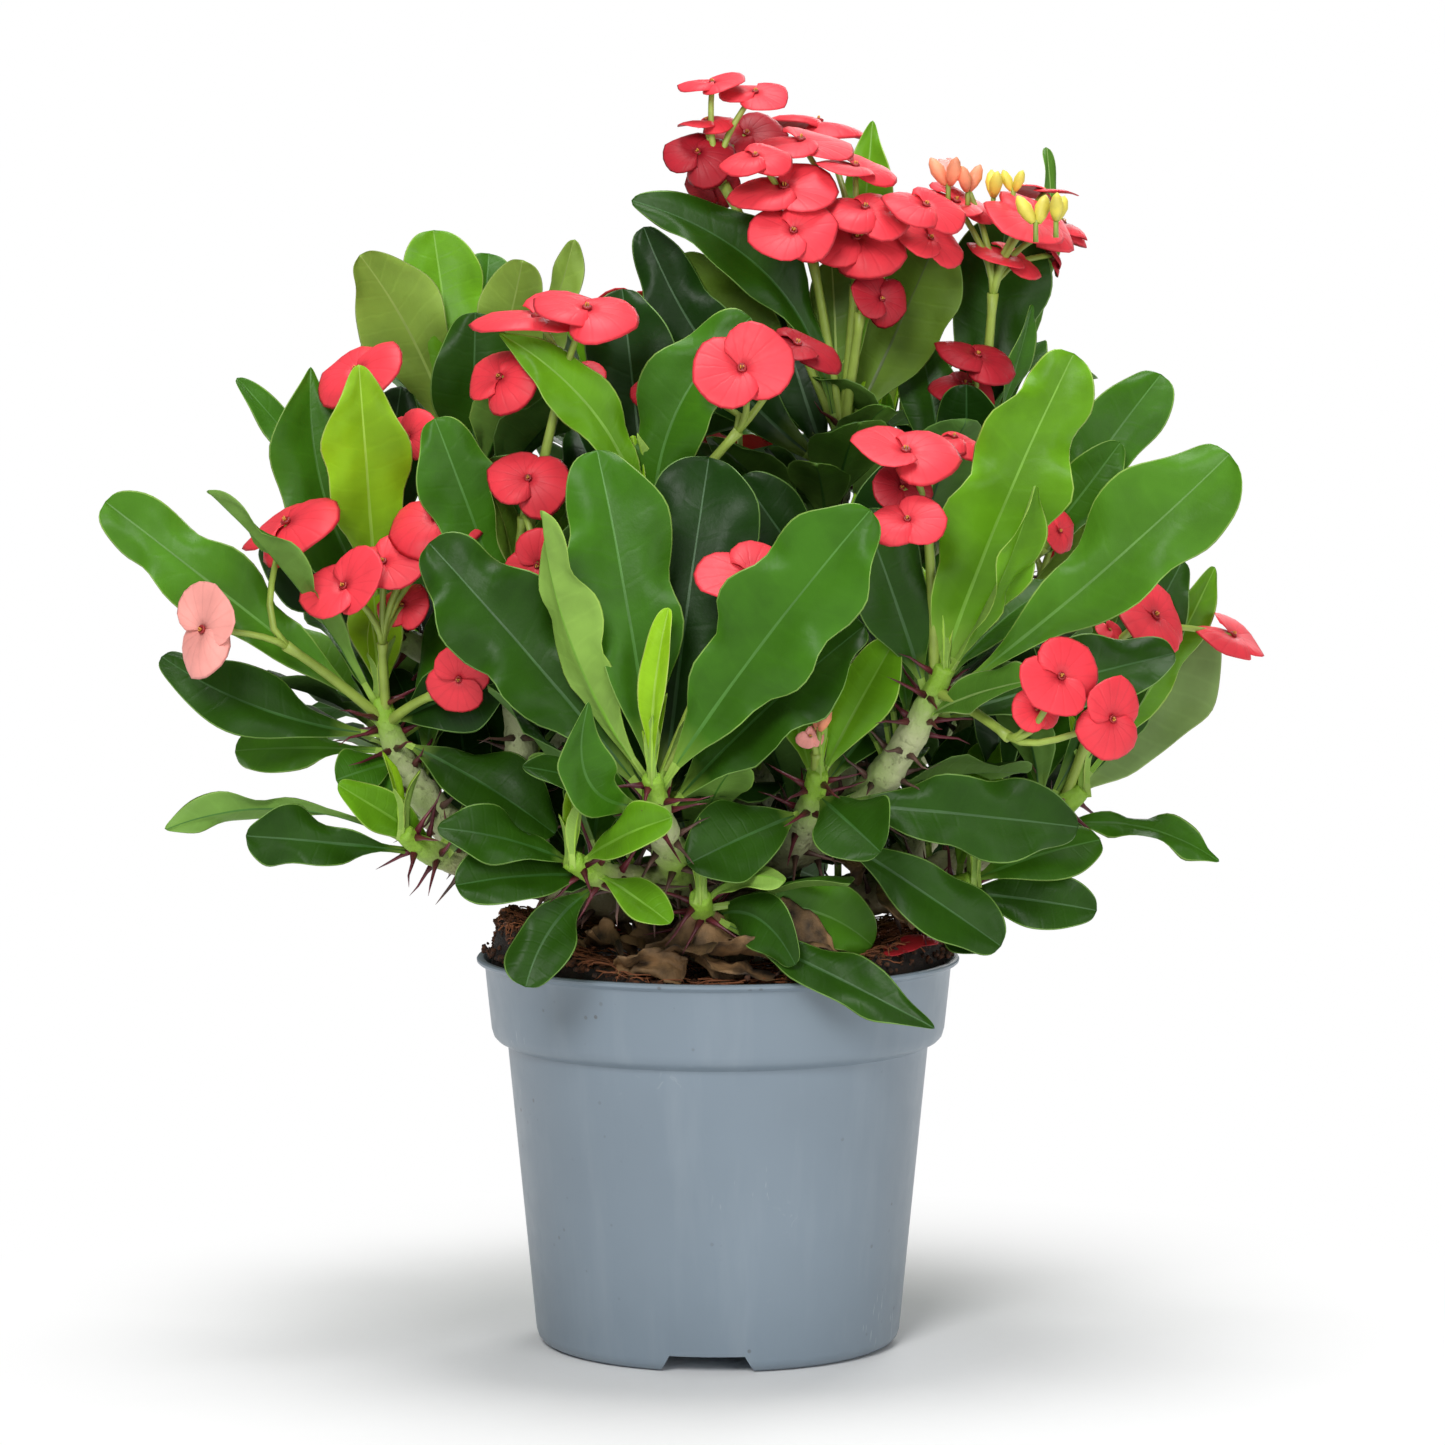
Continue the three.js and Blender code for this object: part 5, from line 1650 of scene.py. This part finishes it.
def make_soil_litter():
    """Crumbs and coir fibres that lie on the soil, most of them near its edge."""
    rng = np.random.default_rng(LITTER_SEED)
    crumbs, fibres = Heap(), Heap()
    for i in range(CRUMBS["loose"]):
        spot = soil_spot(rng, CRUMBS["ring"] if i % 2 else 0)
        crumbs.add(crumb_form(spot, rng.uniform(*CRUMBS["sizes"]), rng))
    for _ in range(CRUMBS["heaped"]):
        spot = heap_spot(rng, *CRUMBS["heap"]) + UP * rng.uniform(0, CRUMBS["piled"])
        crumbs.add(crumb_form(spot, rng.uniform(*CRUMBS["small"]), rng))
    for i in range(FIBRES["count"]):
        if i % 3:
            start = soil_spot(rng, FIBRES["ring"] if i % 2 else 0)
        else:
            start = heap_spot(rng, *FIBRES["heap"])
        line = fibre_line(start + UP * rng.uniform(0, FIBRES["piled"]), rng)
        inside = (np.hypot(line[:, 0], line[:, 1]) < FIBRES["reach"]).all()
        if inside and np.ptp(line[:, 2]) < FIBRES["steep"]:
            fibres.add(tube(line, np.linspace(*FIBRES["radii"], FIBRES["points"]), FIBRES["sides"]))
    crumb_skin = soil_material("peat_crumbs", COLOURS["crumb_dark"], COLOURS["crumb_light"])
    piece_from("soil_crumbs", crumbs, [crumb_skin])
    piece_from("coir_fibres", fibres, [plain_skin("coir", COLOURS["coir"], 0.85, 0.7, 90.0)])


# Dried leaves: the places [across, back, up] of foot and tip, the width, the tilt and the fold.
DRIED_LEAVES = [
    ((-34, -58, 139), (22, -70, 143), 19, 40, 0.9), ((50, -58, 140), (2, -66, 146), 17, -35, 0.9),
    ((-38, -56, 138), (-10, -71, 142), 13, 80, 1.2), ((52, -30, 178), (66, -42, 150), 14, 30, 0.9),
    ((70, -20, 168), (84, -34, 146), 12, -40, 1.1), ((-30, 40, 138), (-55, 48, 142), 15, 10, 0.9),
    ((30, 50, 138), (52, 44, 142), 14, 30, 0.9), ((-50, -20, 140), (-34, -44, 141), 12, 10, 1.2),
    ((16, -30, 176), (30, -42, 148), 15, 200, 1.1), ((-14, -58, 148), (30, -66, 140), 12, 120, 1.4),
    ((58, -12, 190), (48, -34, 164), 15, 20, 0.9), ((-20, -30, 168), (-34, -38, 144), 13, 160, 1.2),
]
DRIED_FORM = {"bow": 0.12, "stations": 26, "wave": 2.4, "point": 0.6}
DRIED_TWIST = 90

# Wrinkles as a size and a depth. Blender's noise starts from the clock unless it has a seed.
WRINKLES = ((0.09, 4), (0.25, 2))
WRINKLE_SEED = 4

# Fallen petals: the place [across, back] and the size of each.
FALLEN_PETALS = [(63, -38, 9), (70, -30, 8), (58, -46, 7), (-40, 55, 8), (30, -64, 6)]
PETAL = {"lean": 0.3, "turn": 90, "clear": 1.5}


def crumpled(points):
    """Points moved by a soft noise, so that a thin form wrinkles as one."""
    return points + sum(
        depth * np.array([noise_vector(Vector(point * size)) for point in points]) for size, depth in WRINKLES
    )


def make_dried_leaves():
    """Dried leaves on and over the soil."""
    seed_set(WRINKLE_SEED)
    dried = Heap()
    for i, (root, tip, width, tilt, fold) in enumerate(DRIED_LEAVES):
        root, tip = np.array(root, float), np.array(tip, float)
        points, *rest = leaf_form(root, tip, UP, width, 300 + i, tilt=tilt, fold=fold,
                                  twist=DRIED_TWIST * wobble(i, 9), **DRIED_FORM)
        dried.add((crumpled(points), *rest), 0)
    # the strong mottle is partly the dried leaves' own blotches and partly painted highlights and shade
    skin = plain_skin("dried_leaf", COLOURS["dried_leaf"], 0.7, 1.6, 110.0, 0.9)
    piece_from("dried_leaves", dried, [skin])


def make_fallen_petals():
    """Petals that lie on the soil."""
    petals = Heap()
    for i, (x, y, size) in enumerate(FALLEN_PETALS):
        facing = unit(np.array([PETAL["lean"] * wobble(i, 1), PETAL["lean"] * wobble(i, 2), 1]))
        heading = turned_about(side_of(facing), facing, PETAL["turn"] * i)
        centre = np.array([x, y, soil_height(x, y) + PETAL["clear"]])
        petals.add(bract_form(centre, facing, heading, size, 40 + i))
    skins = [bract_material(name, COLOURS[name]) for name in ("petal_top", "petal_under")]
    piece_from("fallen_petals", petals, skins)


def limb_mesh(name, lines, voxel):
    """Round limbs along lines of points and radii, fused into one skin."""
    curve = bpy.data.curves.new(name, "CURVE")
    curve.dimensions = "3D"
    curve.bevel_depth = 1
    curve.bevel_resolution = 4
    curve.use_fill_caps = True
    for points, radii in lines:
        spline = curve.splines.new("POLY")
        spline.points.add(len(points) - 1)
        for spot, point, radius in zip(spline.points, points, radii):
            spot.co = (*(point * MM), 1)
            spot.radius = radius * MM
    limbs = bpy.data.objects.new(name, curve)
    bpy.context.scene.collection.objects.link(limbs)
    only(limbs)
    bpy.ops.object.convert(target="MESH")
    limbs = bpy.context.object
    apply_modifier(limbs, "REMESH", mode="VOXEL", voxel_size=voxel * MM)
    apply_modifier(limbs, "SMOOTH", factor=0.5, iterations=3)
    return limbs


def roughen(o, size, strength):
    """Push a skin in and out by a cloud pattern."""
    texture = bpy.data.textures.new(f"{o.name}_clouds", "CLOUDS")
    texture.noise_scale = size * MM
    apply_modifier(o, "DISPLACE", texture=texture, strength=strength * MM, mid_level=0.5,
                   texture_coords="GLOBAL")


def stem_line(name, low, high):
    """A stem's points and radii between two shares of its length, with faint knots."""
    length = stems[name].length
    shares = np.linspace(low, high, BOUGH["points"])
    knots = [1 + BOUGH["knot_rise"] * math.sin(s * length / BOUGH["knots"]) for s in shares]
    return [stems[name].at(s) for s in shares], [radius_on(name, s) * k for s, k in zip(shares, knots)]


def mark_youth(skin):
    """Give each point of a skin its distance from the nearest shoot's tip, in metres."""
    places = np.zeros(len(skin.data.vertices) * 3)
    skin.data.vertices.foreach_get("co", places)
    tips = np.array([shoot["tip"] for shoot in SHOOTS.values()]) * MM
    ways = np.linalg.norm(places.reshape(-1, 1, 3) - tips, axis=2).min(1)
    skin.data.attributes.new("from_tip", "FLOAT", "POINT").data.foreach_set("value", ways)


# How finely each skin is fused, and the size and strength of the clouds that roughen it.
SKINS = {"stems": (1.3, [(6, 1.6), (2.5, 0.9)]), "shoot_tips": (1.0, [(4, 0.8)])}


def make_skin(name, lines, finish, replaced):
    """A skin over round limbs, with its finish and the nodes that it replaces."""
    voxel, clouds = SKINS[name]
    skin = limb_mesh(name, lines, voxel)
    for size, strength in clouds:
        roughen(skin, size, strength)
    smooth(skin)
    mark_youth(skin)
    finish_piece(skin, [stem_material(finish)], replaced)


def share_below(name, below):
    """How far along a stem a place lies that is some way below its tip."""
    return max(0, 1 - below / stems[name].length)


def make_stems():
    """The bark of the trunk and boughs as one skin, and the green shoots at their ends as another."""
    flare = np.linspace(0, 1, TRUNK["points"])
    trunk = ([stems["trunk"].at(s) for s in flare], [radius_on("trunk", s) for s in flare])
    boughs = [stem_line(name, 0, share_below(name, SHOOT["length"] - SHOOT["overlap"])) for name in SHOOTS]
    make_skin("stems", [trunk] + boughs, "bark", ["trunk"] + [f"bough_{name}" for name in SHOOTS])
    shoots = [stem_line(name, share_below(name, SHOOT["length"]), 1) for name in SHOOTS]
    make_skin("shoot_tips", shoots, "green_shoot", [f"leaves_{name}" for name in SHOOTS])


# Pieces with one plain skin: the heap, the slot, and the skin's name, roughness, mottling and scale.
PLAIN_PIECES = {
    "flower_stalks": (stalks, "foliage", "flower_stalk", 0.45, 0.3, 120.0),
    "flower_centres": (centres, "foliage", "flower_centre", 0.4, 0.4, 300.0),
    "stamens": (stamens, "foliage", "pollen", 0.7, 0.3, 500.0),
    "buds_pale": (bud_heaps["pale"], "foliage", "bud_pale", 0.5, 0.4, 120.0),
    "buds_yellow": (bud_heaps["yellow"], "foliage", "bud_yellow", 0.5, 0.4, 120.0),
    "spines_young": (spine_heaps["young"], "bark", "spine_young", 0.4, 0.7, 150.0),
    "spines_old": (spine_heaps["old"], "bark", "spine_old", 0.5, 0.8, 150.0),
}


def make_foliage():
    """One piece for each shade of leaf and bract, and for each kind of small part."""
    for shade, (upper, under, margin, rib) in LEAF_SHADES.items():
        piece_from(f"leaves_{shade}", leaf_heaps[shade], [
            leaf_material(f"leaf_{shade}_upper", upper, veined=0.05, gloss=0.34),
            leaf_material(f"leaf_{shade}_under", under, veined=0.1, gloss=0.45),
            plain_skin(f"leaf_{shade}_margin", margin, 0.5),
            plain_skin(f"leaf_{shade}_rib", rib, 0.5),
            plain_skin(f"leaf_{shade}_stalk", COLOURS["leaf_stalk"], 0.45),
        ])
    for shade, sides in BRACT_SHADES.items():
        names = (f"bract_{shade}_top", f"bract_{shade}_under")
        skins = [bract_material(*skin) for skin in zip(names, sides)]
        piece_from(f"bracts_{shade}", bract_heaps[shade], skins)
    for name, (heap, slot, skin, roughness, mottling, scale) in PLAIN_PIECES.items():
        piece_from(name, heap, [plain_skin(skin, COLOURS[skin], roughness, mottling, scale)])


make_pot()
make_soil()
make_soil_litter()
make_dried_leaves()
make_fallen_petals()
make_stems()
make_foliage()

# The studio: a pale floor, a white surround, soft lights, and the camera of the photograph. A
# light has its place and the place it shines at in metres, its size and its power in watts.
LIGHTS = {
    "key_light": ((-0.5, -1.9, 1.3), (0, 0, 0.25), 0.8, 30),
    "fill_light": ((1.0, -1.5, 0.5), (0, 0, 0.25), 1.0, 8),
    "top_light": ((0.0, 0.0, 1.6), (0, 0, 0.2), 0.8, 15),
    "back_light": ((0.5, 1.4, 1.0), (0, 0, 0.2), 0.9, 9),
}
WHITE = (1, 1, 1, 1)
FLOOR = {"size": 30, "drop": 0.0004}
SURROUND = {"lights": 0.17, "seen": 1.0}
CAMERA = {"place": (0, -1.8, 0.355), "aim": (0.0016, 0, 0.2186), "lens": 128}


def aimed(place, target):
    """The turn that points a light or a camera from one place at another."""
    return (Vector(target) - Vector(place)).to_track_quat("-Z", "Y")


def area_light(name, place, target, size, power):
    light = bpy.data.lights.new(name, "AREA")
    light.shape = "DISK"
    light.size = size
    light.energy = power
    lamp = bpy.data.objects.new(name, light)
    bpy.context.scene.collection.objects.link(lamp)
    lamp.location = place
    lamp.rotation_euler = aimed(place, target).to_euler()


def floor_material():
    """White paper that shines evenly further out, so that the floor meets the white behind it."""
    material, nodes, skin = new_material("studio_floor")
    distance = nodes.add("VectorMath", {0: nodes.place()}, "Value", operation="LENGTH")
    far = nodes.ramp(distance, 0.1, 0.32)
    near = nodes.times(nodes.spread(nodes.noise(200, 2), 0.02, 0.9), nodes.minus(1.0, far))
    nodes.put(nodes.add("CombineColor", {0: near, 1: near, 2: near}), skin["Base Color"])
    nodes.put(0.9, skin["Roughness"])
    nodes.put(WHITE, skin["Emission Color"])
    nodes.put(far, skin["Emission Strength"])
    nodes.put(0.0, skin["Specular IOR Level"])
    return material


def make_floor():
    bpy.ops.object.select_all(action="DESELECT")
    bpy.ops.mesh.primitive_plane_add(size=FLOOR["size"], location=(0, 0, -FLOOR["drop"]))
    floor = bpy.context.object
    floor.name = "studio_floor"
    floor.data.materials.append(floor_material())


def make_surround():
    """A world that the camera sees as white, and that gives a softer light."""
    world = bpy.data.worlds.new("white_studio")
    world.use_nodes = True
    nodes = Nodes(world.node_tree)
    background = world.node_tree.nodes["Background"].inputs
    seen = nodes.add("LightPath", output="Is Camera Ray")
    strength = nodes.add(
        "MapRange", {"To Min": SURROUND["lights"], "To Max": SURROUND["seen"], "Value": seen}
    )
    nodes.put(WHITE, background["Color"])
    nodes.put(strength, background["Strength"])
    bpy.context.scene.world = world


def make_camera():
    scene = bpy.context.scene
    camera = bpy.data.objects.new("camera", bpy.data.cameras.new("camera"))
    scene.collection.objects.link(camera)
    camera.location = CAMERA["place"]
    camera.rotation_mode = "QUATERNION"
    camera.rotation_quaternion = aimed(CAMERA["place"], CAMERA["aim"])
    camera.data.lens = CAMERA["lens"]
    scene.camera = camera
    scene.view_settings.view_transform = "Standard"


make_floor()
make_surround()
for light_name, row in LIGHTS.items():
    area_light(light_name, *row)
make_camera()
